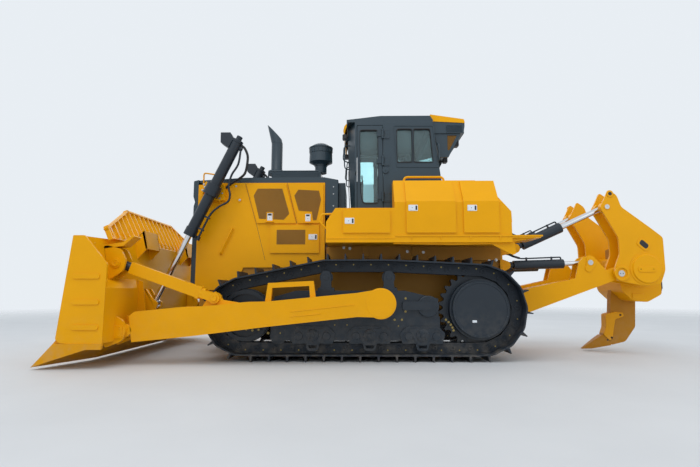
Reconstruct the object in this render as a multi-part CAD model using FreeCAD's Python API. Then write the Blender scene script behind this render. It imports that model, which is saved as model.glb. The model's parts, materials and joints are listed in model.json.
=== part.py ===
import FreeCAD, Part
import math
import os

# Crawler bulldozer with a semi-U blade and a single shank ripper
# Millimetres, +X forward, +Y to the machine's left, +Z up, ground at the grouser tips

Vector = FreeCAD.Vector

# Fits and gaps
FIT = 0.05
SEAT = 0.3
RUN_GAP = 6.0
DOOR_GAP = 9.0
GLASS = 10.0

# Track chain and shoes
LINK_PITCH = 260.0
SPROCKET_TEETH = 27
GROUSER = 83.0
SHOE_THICK = 22.0
HALF_LINK = 75.0
SHOE_WIDTH = 610.0
GAUGE = 2260.0
TRACK_Y = GAUGE / 2
RAIL_INNER = 60.0
RAIL_OUTER = 112.0
RAIL_Z = GROUSER + SHOE_THICK + 2 * HALF_LINK
CHAIN_Z = GROUSER + SHOE_THICK + HALF_LINK
TRACK_IN = TRACK_Y - SHOE_WIDTH / 2
TRACK_OUT = TRACK_Y + SHOE_WIDTH / 2

# Wheels of the undercarriage
SPROCKET_R = LINK_PITCH / (2 * math.sin(2 * math.pi / SPROCKET_TEETH))
SPROCKET_X = -1396.0
SPROCKET_Z = CHAIN_Z + SPROCKET_R
TOOTH_RISE = 14.0
COVER_R = 412.0
COVER_Y = 1380.0
IDLER_X = 2065.0
IDLER_PITCH_R = 470.0
IDLER_R = math.sqrt(IDLER_PITCH_R ** 2 - (LINK_PITCH / 2) ** 2) - HALF_LINK - SEAT
IDLER_Z = CHAIN_Z + IDLER_PITCH_R
ROLLER_R = 105.0
ROLLER_FLANGE = 126.0
ROLLER_X = (1558.0, 1248.0, 846.0, 419.0, 17.0, -347.0, -746.0)
ROLLER_Z = RAIL_Z + ROLLER_R
CARRIER_R = 85.0
CHORD_DROP = 5.0
CARRIER_FLANGE = 99.0
CARRIER_X = (858.0, -69.0)
CARRIER_Z = 1212.0

IDLER_SHAFT_R = 70.0
ROLLER_SHAFT_R = 50.0

# Track frames
FRAME_IN = 960.0
FRAME_OUT = 1330.0
FRAME_TOP = 1015.0
FRAME_LOW = 520.0
FRAME_BACK = SPROCKET_X + SPROCKET_R + TOOTH_RISE + 30.0
FRAME_FRONT = 1620.0

# Blade pivots, arms and braces
PIVOT_X = 74.0
PIVOT_Z = 837.0
PIVOT_R = 85.0
ARM_END_R = 212.0
ARM_IN = 1520.0
ARM_OUT = 1780.0
ARM_MID = (ARM_IN + ARM_OUT) / 2
BRACE_R = 62.0
BRACE_PIN_R = 30.0
BRACE_TOP = (3782.0, 1402.0)
BRACE_FOOT = (2393.0, 908.0)
BLADE_HALF = 2157.0
END_PLATE = 47.0
WING_Y = 1250.0
BLADE_BACK = 3697.0
BLADE_TOP = 1746.0
BLADE_LOW = 336.0
LIFT_UP = 18.0
LIFT_DOWN = -8.0

# Lift cylinders
LIFT_Y = 930.0
LIFT_PIN = (2719.0, 2618.0)
LIFT_EYE = (3573.0, 812.0)
LIFT_BARREL_R = 87.0
LIFT_ROD_R = 45.0
LIFT_BORE_R = 72.0
LIFT_ABOVE = 912.0
LIFT_GLAND = 813.0

# Main body
HOOD_Y = 700.0
HOOD_WALL = 30.0
BODY_Y = HOOD_Y - HOOD_WALL
PLATFORM_Y = 760.0
HOOD_FRONT = 3064.0
HOOD_REAR = 926.0
HOOD_TOP = 2790.0
DOOR_THICK = 26.0
PLATFORM_Z = 1722.0
GUARD_FRONT = 3112.0
TOW_EYE = (3060.0, 900.0)
TOW_BORE = 40.0
TOW_HALF = 45.0

# Fenders
FENDER_Y = 1400.0
FENDER_LOW = 1722.0
LOW_BOX_TOP = 2238.0
HIGH_BOX_TOP = 2712.0
HIGH_BOX_CREASE = 2325.0
HIGH_BOX_TOP_Y = 1150.0
BOX_WALL = 25.0
BOX_JOIN = -160.0
LOW_BOX_FRONT = 865.0
HIGH_BOX_BACK = -1886.0
DECK_BACK = -2305.0

# Cab
CAB_Y = 930.0
CAB_FLOOR = 2240.0
CAB_TOP = 3740.0
CAB_WALL = 55.0
CAB_FRONT = 545.0
CAB_FRONT_Y = 600.0
CAB_CORNER = 430.0
CAB_BACK = -990.0
ROOF_TOP = 3845.0
ROOF_EYE_X = (-40.0, -740.0)
ROOF_EYE_Y = 640.0
ROOF_EYE_Z = 3890.0
ROOF_EYE_BORE = 20.0
DOOR_FRONT = 400.0
DOOR_BACK = -25.0
DOOR_LOW = 2275.0
DOOR_HIGH = 3690.0
HINGE_X = -16.0
HINGE_Y = CAB_Y + 26
HINGE_LEAF = 14.0
HINGE_Z = (2499.0, 3089.0, 3539.0)
HINGE_PIN = 10.0

# Ripper pivots
RIP_ARM_PIN = (-2100.0, 720.0)
RIP_BEAM_PIN = (-3820.0, 1289.0)
RIP_LIFT_BASE = (-2022.0, 1426.0)
RIP_LIFT_EYE = (-3362.0, 1467.0)
RIP_TILT_BASE = (-2180.0, 1700.0)
RIP_TILT_EYE = (-3662.0, 2370.0)
RIP_ARM_IN = 440.0
RIP_ARM_OUT = 660.0
RIP_SLOT = 82.0
RIP_MID = (RIP_ARM_IN + RIP_ARM_OUT) / 2
RIP_PLATE = 40.0
RIP_SIDE_GAP = 15.0
RIP_EAR = 35.0
RIP_EYE_HALF = 46.0
RIP_ARM_PIN_R = 60.0
RIP_BEAM_PIN_R = 55.0
RIP_LIFT_PIN_R = 38.0
RIP_TILT_PIN_R = 42.0
RIP_LIFT_BARREL = (75.0, 38.0, 950.0, 560.0)
RIP_TILT_BARREL = (85.0, 45.0, 855.0, 580.0)
SHANK_HALF = 55.0


def plate(points, y0, y1):
    """Polygon in the XZ plane, extruded along Y."""
    corners = [Vector(x, y0, z) for x, z in points]
    face = Part.Face(Part.makePolygon(corners + corners[:1]))
    return face.extrude(Vector(0, y1 - y0, 0))


def slab(points, z0, z1):
    """Polygon in the XY plane, extruded along Z."""
    corners = [Vector(x, y, z0) for x, y in points]
    face = Part.Face(Part.makePolygon(corners + corners[:1]))
    return face.extrude(Vector(0, 0, z1 - z0))


def bar(points, x0, x1):
    """Polygon in the YZ plane, extruded along X."""
    corners = [Vector(x0, y, z) for y, z in points]
    face = Part.Face(Part.makePolygon(corners + corners[:1]))
    return face.extrude(Vector(x1 - x0, 0, 0))


def block(x0, x1, y0, y1, z0, z1):
    return Part.makeBox(x1 - x0, y1 - y0, z1 - z0, Vector(x0, y0, z0))


def round_y(x, z, radius, y0, y1):
    """Cylinder along Y."""
    return Part.makeCylinder(radius, y1 - y0, Vector(x, y0, z), Vector(0, 1, 0))


def ring_y(x, z, radius, bore, y0, y1):
    return round_y(x, z, radius, y0, y1).cut(round_y(x, z, bore, y0 - 1, y1 + 1))


def rod(start, end, radius):
    """Cylinder between two points."""
    run = end.sub(start)
    return Part.makeCylinder(radius, run.Length, start, run)


def at_y(pair, y):
    return Vector(pair[0], y, pair[1])


def unit(start, end):
    run = (end[0] - start[0], end[1] - start[1])
    length = math.hypot(run[0], run[1])
    return (run[0] / length, run[1] / length), length


def along(start, direction, distance, y):
    return Vector(start[0] + direction[0] * distance, y, start[1] + direction[1] * distance)


def fuse(shapes):
    joined = shapes[0]
    if len(shapes) > 1:
        joined = shapes[0].multiFuse(shapes[1:])
    return joined.removeSplitter()


def mirrored(shape):
    return shape.mirror(Vector(0, 0, 0), Vector(0, 1, 0))


def both(shape):
    return Part.Compound([shape, mirrored(shape)])


def save(name, shape):
    shape.exportStep(os.path.join("parts", name + ".step"))


# Track loop: the chain's path round its wheels

def chain_wheels():
    """Pitch circles that the chain passes, from the idler over the top to the sprocket."""
    carrier = CARRIER_R + HALF_LINK
    return [
        (IDLER_X, IDLER_Z, IDLER_PITCH_R),
        (CARRIER_X[0], CARRIER_Z, carrier),
        (CARRIER_X[1], CARRIER_Z, carrier),
        (SPROCKET_X, SPROCKET_Z, SPROCKET_R),
    ]


def outward_normal(a, b):
    """Normal of the outer tangent line from wheel a to wheel b."""
    length = math.hypot(b[0] - a[0], b[1] - a[1])
    ux = (b[0] - a[0]) / length
    uz = (b[1] - a[1]) / length
    cosine = (a[2] - b[2]) / length
    sine = math.sqrt(1 - cosine * cosine)
    return (ux * cosine + uz * sine, uz * cosine - ux * sine)


def chain_path():
    """Straight runs and arcs of the pitch line, as (length, place at distance)."""
    wheels = chain_wheels()
    count = len(wheels)
    normals = [outward_normal(wheels[i], wheels[(i + 1) % count]) for i in range(count)]
    pieces = []
    for i in range(count):
        a = wheels[i]
        b = wheels[(i + 1) % count]
        n = normals[i]
        start = (a[0] + a[2] * n[0], a[1] + a[2] * n[1])
        end = (b[0] + b[2] * n[0], b[1] + b[2] * n[1])
        pieces.append(("line", start, end, math.dist(start, end)))
        after = normals[(i + 1) % count]
        angle0 = math.atan2(n[1], n[0])
        turn = (math.atan2(after[1], after[0]) - angle0) % (2 * math.pi)
        pieces.append(("arc", b, angle0, turn * b[2]))
    return pieces


def place_on(pieces, distance):
    for kind, first, second, length in pieces:
        if distance <= length:
            if kind == "line":
                share = distance / length
                return (first[0] + (second[0] - first[0]) * share,
                        first[1] + (second[1] - first[1]) * share)
            angle = second + distance / first[2]
            return (first[0] + first[2] * math.cos(angle), first[1] + first[2] * math.sin(angle))
        distance -= length
    return place_on(pieces, 0.0)


def chain_pins():
    pieces = chain_path()
    total = sum(piece[3] for piece in pieces)
    links = round(total / LINK_PITCH)
    return [place_on(pieces, total * i / links) for i in range(links)]


# One shoe's outline from pin to pin: distance along the link and outward from the pitch line
SHOE_JOINT = 4.0
GROUSER_AT = 46.0
GROUSER_ROOT = 34.0
GROUSER_TIP = 16.0


def shoe_outline(length):
    face = HALF_LINK + SHOE_THICK
    tip = face + GROUSER
    return [
        (SHOE_JOINT, face),
        (GROUSER_AT - GROUSER_ROOT / 2, face),
        (GROUSER_AT - GROUSER_TIP / 2, tip),
        (GROUSER_AT + GROUSER_TIP / 2, tip),
        (GROUSER_AT + GROUSER_ROOT / 2, face),
        (length - SHOE_JOINT, face),
    ]


def link_frame(pins, i):
    p = pins[i]
    q = pins[(i + 1) % len(pins)]
    tangent, length = unit(p, q)
    return p, tangent, (tangent[1], -tangent[0]), length


def outline_points(pins, outline):
    points = []
    for i in range(len(pins)):
        p, t, n, length = link_frame(pins, i)
        for s, h in outline(length):
            points.append((p[0] + t[0] * s + n[0] * h, p[1] + t[1] * s + n[1] * h))
    return points


def pin_points(pins, offset):
    """One point per pin, offset from the pitch line along the bend's bisector."""
    points = []
    for i in range(len(pins)):
        n0 = link_frame(pins, i - 1)[2]
        n1 = link_frame(pins, i)[2]
        share = offset / (1 + n0[0] * n1[0] + n0[1] * n1[1])
        points.append((pins[i][0] + (n0[0] + n1[0]) * share, pins[i][1] + (n0[1] + n1[1]) * share))
    return points


def track():
    pins = chain_pins()
    band = plate(outline_points(pins, shoe_outline), TRACK_IN, TRACK_OUT)
    inside = outline_points(pins, lambda length: [(SHOE_JOINT, HALF_LINK), (length - SHOE_JOINT, HALF_LINK)])
    band = band.cut(plate(inside, TRACK_IN - 1, TRACK_OUT + 1))
    root = HALF_LINK + SHOE_THICK / 4
    solids = [band]
    for y0, y1 in ((-RAIL_OUTER, -RAIL_INNER), (RAIL_INNER, RAIL_OUTER)):
        rail = plate(pin_points(pins, root), TRACK_Y + y0, TRACK_Y + y1)
        hole = plate(pin_points(pins, -HALF_LINK), TRACK_Y + y0 - 1, TRACK_Y + y1 + 1)
        solids.append(rail.cut(hole))
    return solids[0].multiFuse(solids[1:])


def sprocket():
    """Toothed ring, final drive hub to the main frame and the round outer cover."""
    tooth_tip = SPROCKET_R + TOOTH_RISE
    tooth_root = SPROCKET_R - 46
    points = []
    for i in range(SPROCKET_TEETH):
        base = 2 * math.pi * i / SPROCKET_TEETH
        step = 2 * math.pi / SPROCKET_TEETH
        for share, radius in ((0.0, tooth_root), (0.3, tooth_root), (0.55, tooth_tip), (0.75, tooth_tip)):
            angle = base + step * share
            points.append((SPROCKET_X + radius * math.cos(angle), SPROCKET_Z + radius * math.sin(angle)))
    teeth = plate(points, TRACK_Y - 40, TRACK_Y + 40)
    hub = round_y(SPROCKET_X, SPROCKET_Z, 330, BODY_Y, TRACK_Y - 40)
    drum = round_y(SPROCKET_X, SPROCKET_Z, COVER_R + 30, TRACK_Y + 40, COVER_Y - 60)
    cover = round_y(SPROCKET_X, SPROCKET_Z, COVER_R, COVER_Y - 60, COVER_Y)
    return fuse([teeth, hub, drum, cover])


def idler():
    tread = round_y(IDLER_X, IDLER_Z, IDLER_R, TRACK_Y - RAIL_OUTER, TRACK_Y + RAIL_OUTER)
    flange = round_y(IDLER_X, IDLER_Z, IDLER_R + 20, TRACK_Y - RAIL_INNER + 4, TRACK_Y + RAIL_INNER - 4)
    shaft = round_y(IDLER_X, IDLER_Z, IDLER_SHAFT_R, FRAME_IN, FRAME_OUT)
    recess = ring_y(IDLER_X, IDLER_Z, IDLER_R - 60, 130, TRACK_Y + RAIL_OUTER - 40, TRACK_Y + RAIL_OUTER + 1)
    return fuse([tread, flange, shaft]).cut(recess).cut(mirror_about_track(recess))


def mirror_about_track(shape):
    return shape.mirror(Vector(0, TRACK_Y, 0), Vector(0, 1, 0))


def rollers():
    solids = []
    for x in ROLLER_X:
        tread = round_y(x, ROLLER_Z, ROLLER_R, TRACK_Y - RAIL_OUTER - 4, TRACK_Y + RAIL_OUTER + 4)
        inner = round_y(x, ROLLER_Z, ROLLER_FLANGE, TRACK_Y + RAIL_OUTER + 4, TRACK_Y + RAIL_OUTER + 26)
        shaft = round_y(x, ROLLER_Z, ROLLER_SHAFT_R, FRAME_IN, FRAME_OUT)
        solids.append(fuse([tread, inner, mirror_about_track(inner), shaft]))
    for x in CARRIER_X:
        tread = round_y(x, CARRIER_Z, CARRIER_R - CHORD_DROP, TRACK_Y - RAIL_OUTER - 4, TRACK_Y + RAIL_OUTER + 4)
        flange = round_y(x, CARRIER_Z, CARRIER_FLANGE, TRACK_Y + RAIL_OUTER + 4, TRACK_Y + RAIL_OUTER + 24)
        shaft = round_y(x, CARRIER_Z, 40, TRACK_Y, CARRIER_FOOT_Y)
        solids.append(fuse([tread, flange, shaft]))
    return Part.Compound(solids)


SKIRT = 27.0
CARRIER_FOOT_Y = TRACK_Y + RAIL_OUTER + 30


def track_frame():
    """Roller frame with its bogie skirts, idler fork, carrier brackets and blade trunnion."""
    beam = plate([
        (FRAME_FRONT, FRAME_TOP - 90), (1300, FRAME_TOP), (-300, FRAME_TOP), (FRAME_BACK, 900),
        (FRAME_BACK, 600), (-300, FRAME_LOW + 30), (FRAME_FRONT, FRAME_LOW + 30)],
        FRAME_IN, FRAME_OUT)
    solids = [beam]
    for y0, y1 in ((FRAME_IN, FRAME_IN + SKIRT), (FRAME_OUT - SKIRT, FRAME_OUT)):
        fork = plate([(FRAME_FRONT - 100, FRAME_LOW + 60), (IDLER_X + 110, IDLER_Z - 90),
                      (IDLER_X + 110, IDLER_Z + 90), (FRAME_FRONT - 100, FRAME_TOP - 100)], y0, y1)
        skirt = plate([(ROLLER_X[0] + 60, FRAME_LOW + 40), (ROLLER_X[0] + 60, ROLLER_Z - 70),
                       (ROLLER_X[-1] - 60, ROLLER_Z - 70), (ROLLER_X[-1] - 60, FRAME_LOW + 120)],
                      y0, y1)
        solids += [fork, skirt]
    for x in CARRIER_X:
        foot = plate([(x - 110, FRAME_TOP - 60), (x + 110, FRAME_TOP - 60), (x + 80, FRAME_TOP + 60),
                      (x + 60, CARRIER_Z + 50), (x - 60, CARRIER_Z + 50), (x - 80, FRAME_TOP + 60)],
                     CARRIER_FOOT_Y, FRAME_OUT)
        solids.append(foot)
    trunnion = round_y(PIVOT_X, PIVOT_Z, PIVOT_R, FRAME_OUT - 20, ARM_OUT - 60)
    collar = round_y(PIVOT_X, PIVOT_Z, PIVOT_R + 70, FRAME_OUT - 20, ARM_IN - 20)
    pivot_shaft = round_y(-620, 760, 110, BODY_Y, FRAME_IN + 20)
    equalizer = block(1380, 1560, BODY_Y, FRAME_IN + 20, 640, 800)
    frame = fuse(solids + [trunnion, collar, pivot_shaft, equalizer])
    frame = frame.cut(round_y(IDLER_X, IDLER_Z, IDLER_SHAFT_R + FIT, FRAME_IN - 1, FRAME_OUT + 1))
    for x in ROLLER_X:
        frame = frame.cut(round_y(x, ROLLER_Z, ROLLER_SHAFT_R + FIT, FRAME_IN - 1, FRAME_OUT + 1))
    return frame


def main_frame():
    belly = plate([(-1900, 620), (-1700, 480), (2700, 480), (2950, 700), (2950, 1390), (900, 1390),
                   (900, PLATFORM_Z), (-1900, PLATFORM_Z)], -BODY_Y, BODY_Y)
    rails = block(-1900, 850, -PLATFORM_Y, PLATFORM_Y, 1500, PLATFORM_Z)
    platform = block(-1000, 850, -PLATFORM_Y, PLATFORM_Y, PLATFORM_Z, CAB_FLOOR)
    tow_root = plate([(2900, TOW_EYE[1] - 110), (TOW_EYE[0], TOW_EYE[1] - 80), (TOW_EYE[0], TOW_EYE[1] + 80),
                      (2900, TOW_EYE[1] + 110)], -TOW_HALF, TOW_HALF)
    tow_eye = round_y(TOW_EYE[0], TOW_EYE[1], 80, -TOW_HALF, TOW_HALF)
    frame = fuse([belly, rails, platform, tow_root, tow_eye])
    return frame.cut(round_y(TOW_EYE[0], TOW_EYE[1], TOW_BORE, -TOW_HALF - 1, TOW_HALF + 1))


def radiator_guard():
    outer = block(HOOD_FRONT - 110, GUARD_FRONT, -HOOD_Y, HOOD_Y, 1000, HOOD_TOP)
    hole = block(HOOD_FRONT - 111, GUARD_FRONT + 1, -HOOD_Y + 90, HOOD_Y - 90, 1120, 2700)
    core = block(HOOD_FRONT - 110, GUARD_FRONT - 70, -HOOD_Y + 80, HOOD_Y - 80, 1110, 2710)
    solids = [outer.cut(hole), core]
    count = 12
    for i in range(count):
        z = 1120 + (2700 - 1120) * (i + 0.5) / count
        solids.append(block(GUARD_FRONT - 50, GUARD_FRONT - 20, -HOOD_Y + 80, HOOD_Y - 80, z - 22, z + 22))
    return fuse(solids)


# Engine doors on the left side: outline in X and Z, hinge line
UPPER_HINGE_Z = 2765.0
DOOR_FRONT_UPPER = [(2222, UPPER_HINGE_Z), (2034, 2112), (1398, 2112), (1572, UPPER_HINGE_Z)]
DOOR_REAR_UPPER = [(1536, UPPER_HINGE_Z), (1362, 2112), (950, 2112), (950, UPPER_HINGE_Z)]
DOOR_LOWER = [(1812, 2078), (1016, 2078), (1016, 1622), (1812, 1622)]
ENGINE_DOORS = {
    "engine_door_front": DOOR_FRONT_UPPER,
    "engine_door_rear": DOOR_REAR_UPPER,
    "engine_door_low": DOOR_LOWER,
}


def shrunk(points, inset):
    """Polygon moved in by a distance, towards its middle, along X and Z."""
    mx = sum(p[0] for p in points) / len(points)
    mz = sum(p[1] for p in points) / len(points)
    return [(x - math.copysign(inset, x - mx), z - math.copysign(inset, z - mz)) for x, z in points]


def hood():
    outer = plate([(HOOD_FRONT - 110, 1027), (HOOD_FRONT - 110, HOOD_TOP), (HOOD_REAR, HOOD_TOP),
                   (HOOD_REAR, 1390), (2246, 1390), (2400, 1027)], -HOOD_Y, HOOD_Y)
    inner = plate([(HOOD_FRONT, 1000), (HOOD_FRONT, HOOD_TOP - HOOD_WALL),
                   (HOOD_REAR + HOOD_WALL, HOOD_TOP - HOOD_WALL), (HOOD_REAR + HOOD_WALL, 1300),
                   (2200, 1300), (2200, 1000)],
                  -HOOD_Y + HOOD_WALL, HOOD_Y - HOOD_WALL)
    shell = outer.cut(inner)
    for outline in ENGINE_DOORS.values():
        shell = shell.cut(plate(shrunk(outline, 45), -HOOD_Y - 1, HOOD_Y + 1))
    return shell


def hood_cover():
    """Dark top strip and the raised cover on the middle of the hood."""
    strip = plate([(HOOD_FRONT + 20, HOOD_TOP), (HOOD_FRONT + 20, HOOD_TOP + 46), (2250, HOOD_TOP + 96),
                   (HOOD_REAR, HOOD_TOP + 100), (HOOD_REAR, HOOD_TOP)], -HOOD_Y + 30, HOOD_Y - 30)
    raised = block(1017, 1865, -430, 430, HOOD_TOP + 90, 3060)
    return fuse([strip, raised])


def engine_door(name):
    outline = ENGINE_DOORS[name]
    return plate(outline, HOOD_Y + SEAT, HOOD_Y + SEAT + DOOR_THICK)


def engine_block():
    return block(1000, 2500, -420, 420, 1390, 2500)


def exhaust():
    stack = Part.makeCylinder(98, 626, Vector(1810, 250, 3030))
    flare = plate([(1712, 3656), (1909, 3656), (1992, 3952), (1930, 3952), (1740, 3700)], 175, 325)
    foot = Part.makeCylinder(150, 70, Vector(1810, 250, 3060))
    return fuse([Part.makeCylinder(98, 640, Vector(1810, 250, 3060)), flare, foot])


def precleaner():
    neck = Part.makeCylinder(102, 230, Vector(1033, 250, 3060))
    bowl = Part.makeCylinder(200, 280, Vector(1033, 250, 3238))
    dome = Part.makeSphere(260, Vector(1033, 250, 3343))
    dome = dome.common(Part.makeCylinder(200, 200, Vector(1033, 250, 3518)))
    return fuse([neck, bowl, dome])


def firewall():
    return plate([(HOOD_REAR, 2240), (HOOD_REAR, 2885), (706, 2841), (660, 2650), (600, 2400), (600, 2240)],
                 -620, 620)


def low_box(inset):
    return plate([(721 - inset, LOW_BOX_TOP - inset), (859 - inset, 2030), (LOW_BOX_FRONT - inset, FENDER_LOW + inset),
                  (BOX_JOIN, FENDER_LOW + inset), (BOX_JOIN, LOW_BOX_TOP - inset)],
                 PLATFORM_Y + inset, FENDER_Y - inset)


def high_box(inset):
    side = bar([(CAB_Y + 5 + inset, FENDER_LOW + inset), (FENDER_Y - inset, FENDER_LOW + inset),
                (FENDER_Y - inset, HIGH_BOX_CREASE - inset * 0.5), (HIGH_BOX_TOP_Y - inset * 0.5, HIGH_BOX_TOP - inset),
                (CAB_Y + 5 + inset, HIGH_BOX_TOP - inset)], HIGH_BOX_BACK + inset, BOX_JOIN - inset)
    slope = plate([(BOX_JOIN, FENDER_LOW), (BOX_JOIN, HIGH_BOX_TOP), (-1425 + inset * 0.5, HIGH_BOX_TOP),
                   (HIGH_BOX_BACK + inset, 2181 - inset), (HIGH_BOX_BACK + inset, FENDER_LOW)],
                  CAB_Y, FENDER_Y)
    return side.common(slope)


# Fender box doors on the left side: lowest and highest X, then the box they close
BOX_DOORS = {
    "box_door_front": (-92.0, 606.0, "low"),
    "box_door_middle": (-1062.0, -332.0, "high"),
    "box_door_rear": (-1700.0, -1178.0, "high"),
}
BOX_DOOR_LOW = 1862.0
BOX_DOOR_TOP = 2207.0
DOOR_SLOPE_LOW = 2325.0


def box_door(name, left=True):
    x0, x1, kind = BOX_DOORS[name]
    near = SEAT
    far = SEAT + DOOR_THICK
    if kind == "low":
        return block(x0, x1, FENDER_Y + near, FENDER_Y + far, BOX_DOOR_LOW, BOX_DOOR_TOP)
    bent = bent_skin(far, x0, x1).cut(bent_skin(near, x0 - 1, x1 + 1))
    return bent.cut(block(x0 - 1, x1 + 1, 0, 2000, 1000, BOX_DOOR_LOW))


def bent_skin(offset, x0, x1):
    """Outer form of the high box's side, moved out by an offset square to each face."""
    rise = HIGH_BOX_TOP - HIGH_BOX_CREASE
    run = FENDER_Y - HIGH_BOX_TOP_Y
    length = math.hypot(rise, run)
    share = offset / length
    bend = offset * (length - rise) / run
    top = (HIGH_BOX_TOP_Y + rise * share + run * 0.08, HIGH_BOX_TOP + run * share - rise * 0.08)
    return bar([(HIGH_BOX_TOP_Y - 200, FENDER_LOW), (FENDER_Y + offset, FENDER_LOW),
                (FENDER_Y + offset, HIGH_BOX_CREASE + bend), top,
                (top[0] - rise * 0.5, top[1] - run * 0.5)], x0, x1)


def fender(left):
    low = low_box(0)
    high = high_box(0)
    body = fuse([low, high])
    if left:
        body = body.cut(low_box(BOX_WALL))
        body = body.cut(block(-52, 566, FENDER_Y - 100, FENDER_Y + 1, BOX_DOOR_LOW + 40, BOX_DOOR_TOP - 40))
        body = body.cut(high_box(BOX_WALL))
        for x0, x1 in ((-1022, -372), (-1660, -1218)):
            body = body.cut(block(x0, x1, FENDER_Y - 100, FENDER_Y + 1, BOX_DOOR_LOW + 40, HIGH_BOX_CREASE - 20))
    deck = block(DECK_BACK, HIGH_BOX_BACK + 10, PLATFORM_Y, FENDER_Y, 1786, 1808)
    gussets = [plate([(HIGH_BOX_BACK + 10, 1786), (DECK_BACK + 60, 1786), (HIGH_BOX_BACK + 10, 1726)], y, y + 20)
               for y in (PLATFORM_Y + 40, FENDER_Y - 60)]
    inner = block(HIGH_BOX_BACK, BOX_JOIN, PLATFORM_Y, CAB_Y + 10, FENDER_LOW, FENDER_LOW + 90)
    return fuse([body, deck, inner] + gussets)


def rear_tank():
    bottom = FENDER_LOW + 90
    return plate([(CAB_BACK - 40, bottom), (CAB_BACK - 40, 2640), (-1500, 2640), (-1850, 2200),
                  (-1850, bottom)], -CAB_Y, CAB_Y)


def cab_form(inset):
    plan = slab([(CAB_FRONT - inset, -CAB_FRONT_Y + inset * 0.4), (CAB_FRONT - inset, CAB_FRONT_Y - inset * 0.4),
                 (CAB_CORNER - inset * 0.6, CAB_Y - inset), (CAB_BACK + inset, CAB_Y - inset),
                 (CAB_BACK + inset, -CAB_Y + inset), (CAB_CORNER - inset * 0.6, -CAB_Y + inset)],
                CAB_FLOOR + inset, CAB_TOP)
    side = plate([(490 - inset, CAB_FLOOR), (CAB_FRONT - inset, 3400), (CAB_FRONT - inset, CAB_TOP),
                  (-830 + inset, CAB_TOP), (-950 + inset, 2780), (CAB_BACK + inset, 2690),
                  (CAB_BACK + inset, CAB_FLOOR)], -CAB_Y, CAB_Y)
    return plan.common(side)


def cab_windows():
    """Prisms that cut the fixed windows."""
    return [
        block(300, 700, -CAB_FRONT_Y + 60, CAB_FRONT_Y - 60, 2520, 3620),
        block(-1100, -700, -CAB_Y + 130, CAB_Y - 130, 2860, 3600),
        block(-490, -250, -1000, 1000, 3070, 3615),
        plate([(-520, 3070), (-826, 3070), (-781, 3615), (-520, 3615)], -1000, 1000),
    ]


def door_opening(gap):
    return plate([(DOOR_FRONT - gap, DOOR_LOW + gap), (DOOR_FRONT - gap, DOOR_HIGH - gap),
                  (DOOR_BACK + gap, DOOR_HIGH - gap), (DOOR_BACK + gap, DOOR_LOW + gap)],
                 CAB_Y - CAB_WALL - 20, CAB_Y + 20)


def door_window():
    return plate([(340, 2560), (350, 3600), (60, 3600), (60, 2400), (300, 2400)], CAB_Y - 100, CAB_Y + 20)


def cab_body():
    shell = cab_form(0).cut(cab_form(CAB_WALL))
    for window in cab_windows():
        shell = shell.cut(window)
    opening = door_opening(0)
    shell = shell.cut(opening).cut(mirrored(opening))
    lugs = []
    for z in HINGE_Z:
        leaf = block(HINGE_X - 110, HINGE_X, CAB_Y, CAB_Y + HINGE_LEAF, z - 80, z + 80)
        leaf = leaf.cut(block(HINGE_X - 35, HINGE_X + 1, CAB_Y - 1, CAB_Y + HINGE_LEAF + 1, z - 44, z + 44))
        ends = [Part.makeCylinder(20, 36, Vector(HINGE_X, HINGE_Y, level)) for level in (z - 80, z + 44)]
        pin = Part.makeCylinder(HINGE_PIN, 160, Vector(HINGE_X, HINGE_Y, z - 80))
        lugs.append(fuse([leaf, pin] + ends))
    return fuse([shell] + lugs + [mirrored(lug) for lug in lugs])


def cab_glass():
    skin = cab_form(20).cut(cab_form(20 + GLASS))
    panes = []
    for window in cab_windows():
        panes += skin.common(window).Solids
    return Part.Compound(panes)


def cab_door():
    slab_door = door_opening(DOOR_GAP).common(block(-2000, 2000, CAB_Y - 50, CAB_Y, 0, 5000))
    knuckles = []
    for z in HINGE_Z:
        leaf = block(HINGE_X, HINGE_X + 90, CAB_Y, CAB_Y + HINGE_LEAF, z - 40, z + 40)
        knuckles.append(leaf)
        knuckles.append(Part.makeCylinder(20, 80, Vector(HINGE_X, HINGE_Y, z - 40)))
    door = fuse([slab_door.cut(door_window())] + knuckles)
    return door.cut(Part.makeCylinder(HINGE_PIN + FIT, 2000, Vector(HINGE_X, HINGE_Y, CAB_FLOOR)))


def cab_door_glass():
    return door_window().common(block(-2000, 2000, CAB_Y - 30, CAB_Y - 20, 0, 5000))


def cab_roof():
    base = [(CAB_FRONT + 20, 3705), (CAB_FRONT + 20, 3780), (11, ROOF_TOP), (-794, ROOF_TOP), (-840, 3770),
            (-830, CAB_TOP), (CAB_FRONT, CAB_TOP), (CAB_FRONT, 3705)]
    roof = plate(base, -CAB_Y, CAB_Y)
    eyes = []
    for x in ROOF_EYE_X:
        tab = block(x - 40, x + 40, ROOF_EYE_Y - 10, ROOF_EYE_Y + 10, ROOF_EYE_Z - 90, ROOF_EYE_Z)
        tab = fuse([tab, round_y(x, ROOF_EYE_Z, 40, ROOF_EYE_Y - 10, ROOF_EYE_Y + 10)])
        eyes.append(tab.cut(round_y(x, ROOF_EYE_Z, ROOF_EYE_BORE, 0, CAB_Y)))
    return fuse([roof] + eyes + [mirrored(eye) for eye in eyes])


def seat():
    base = block(-520, 0, -240, 240, CAB_FLOOR + CAB_WALL, 2700)
    cushion = block(-540, 20, -260, 260, 2700, 2830)
    back = plate([(-520, 2830), (-380, 2830), (-460, 3450), (-570, 3450)], -250, 250)
    return fuse([base, cushion, back])


def console():
    arm_left = block(-450, 60, 300, 480, CAB_FLOOR + CAB_WALL, 2950)
    panel = block(290, 410, -300, 300, CAB_FLOOR + CAB_WALL, 2900)
    return Part.Compound([arm_left, mirrored(arm_left), panel])


def air_conditioner():
    body = plate([(-820, 3300), (-800, 3790), (-1180, 3770), (-1180, 3620), (-960, 3300)], -560, 560)
    return body.cut(cab_form(0)).cut(cab_roof())



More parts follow.
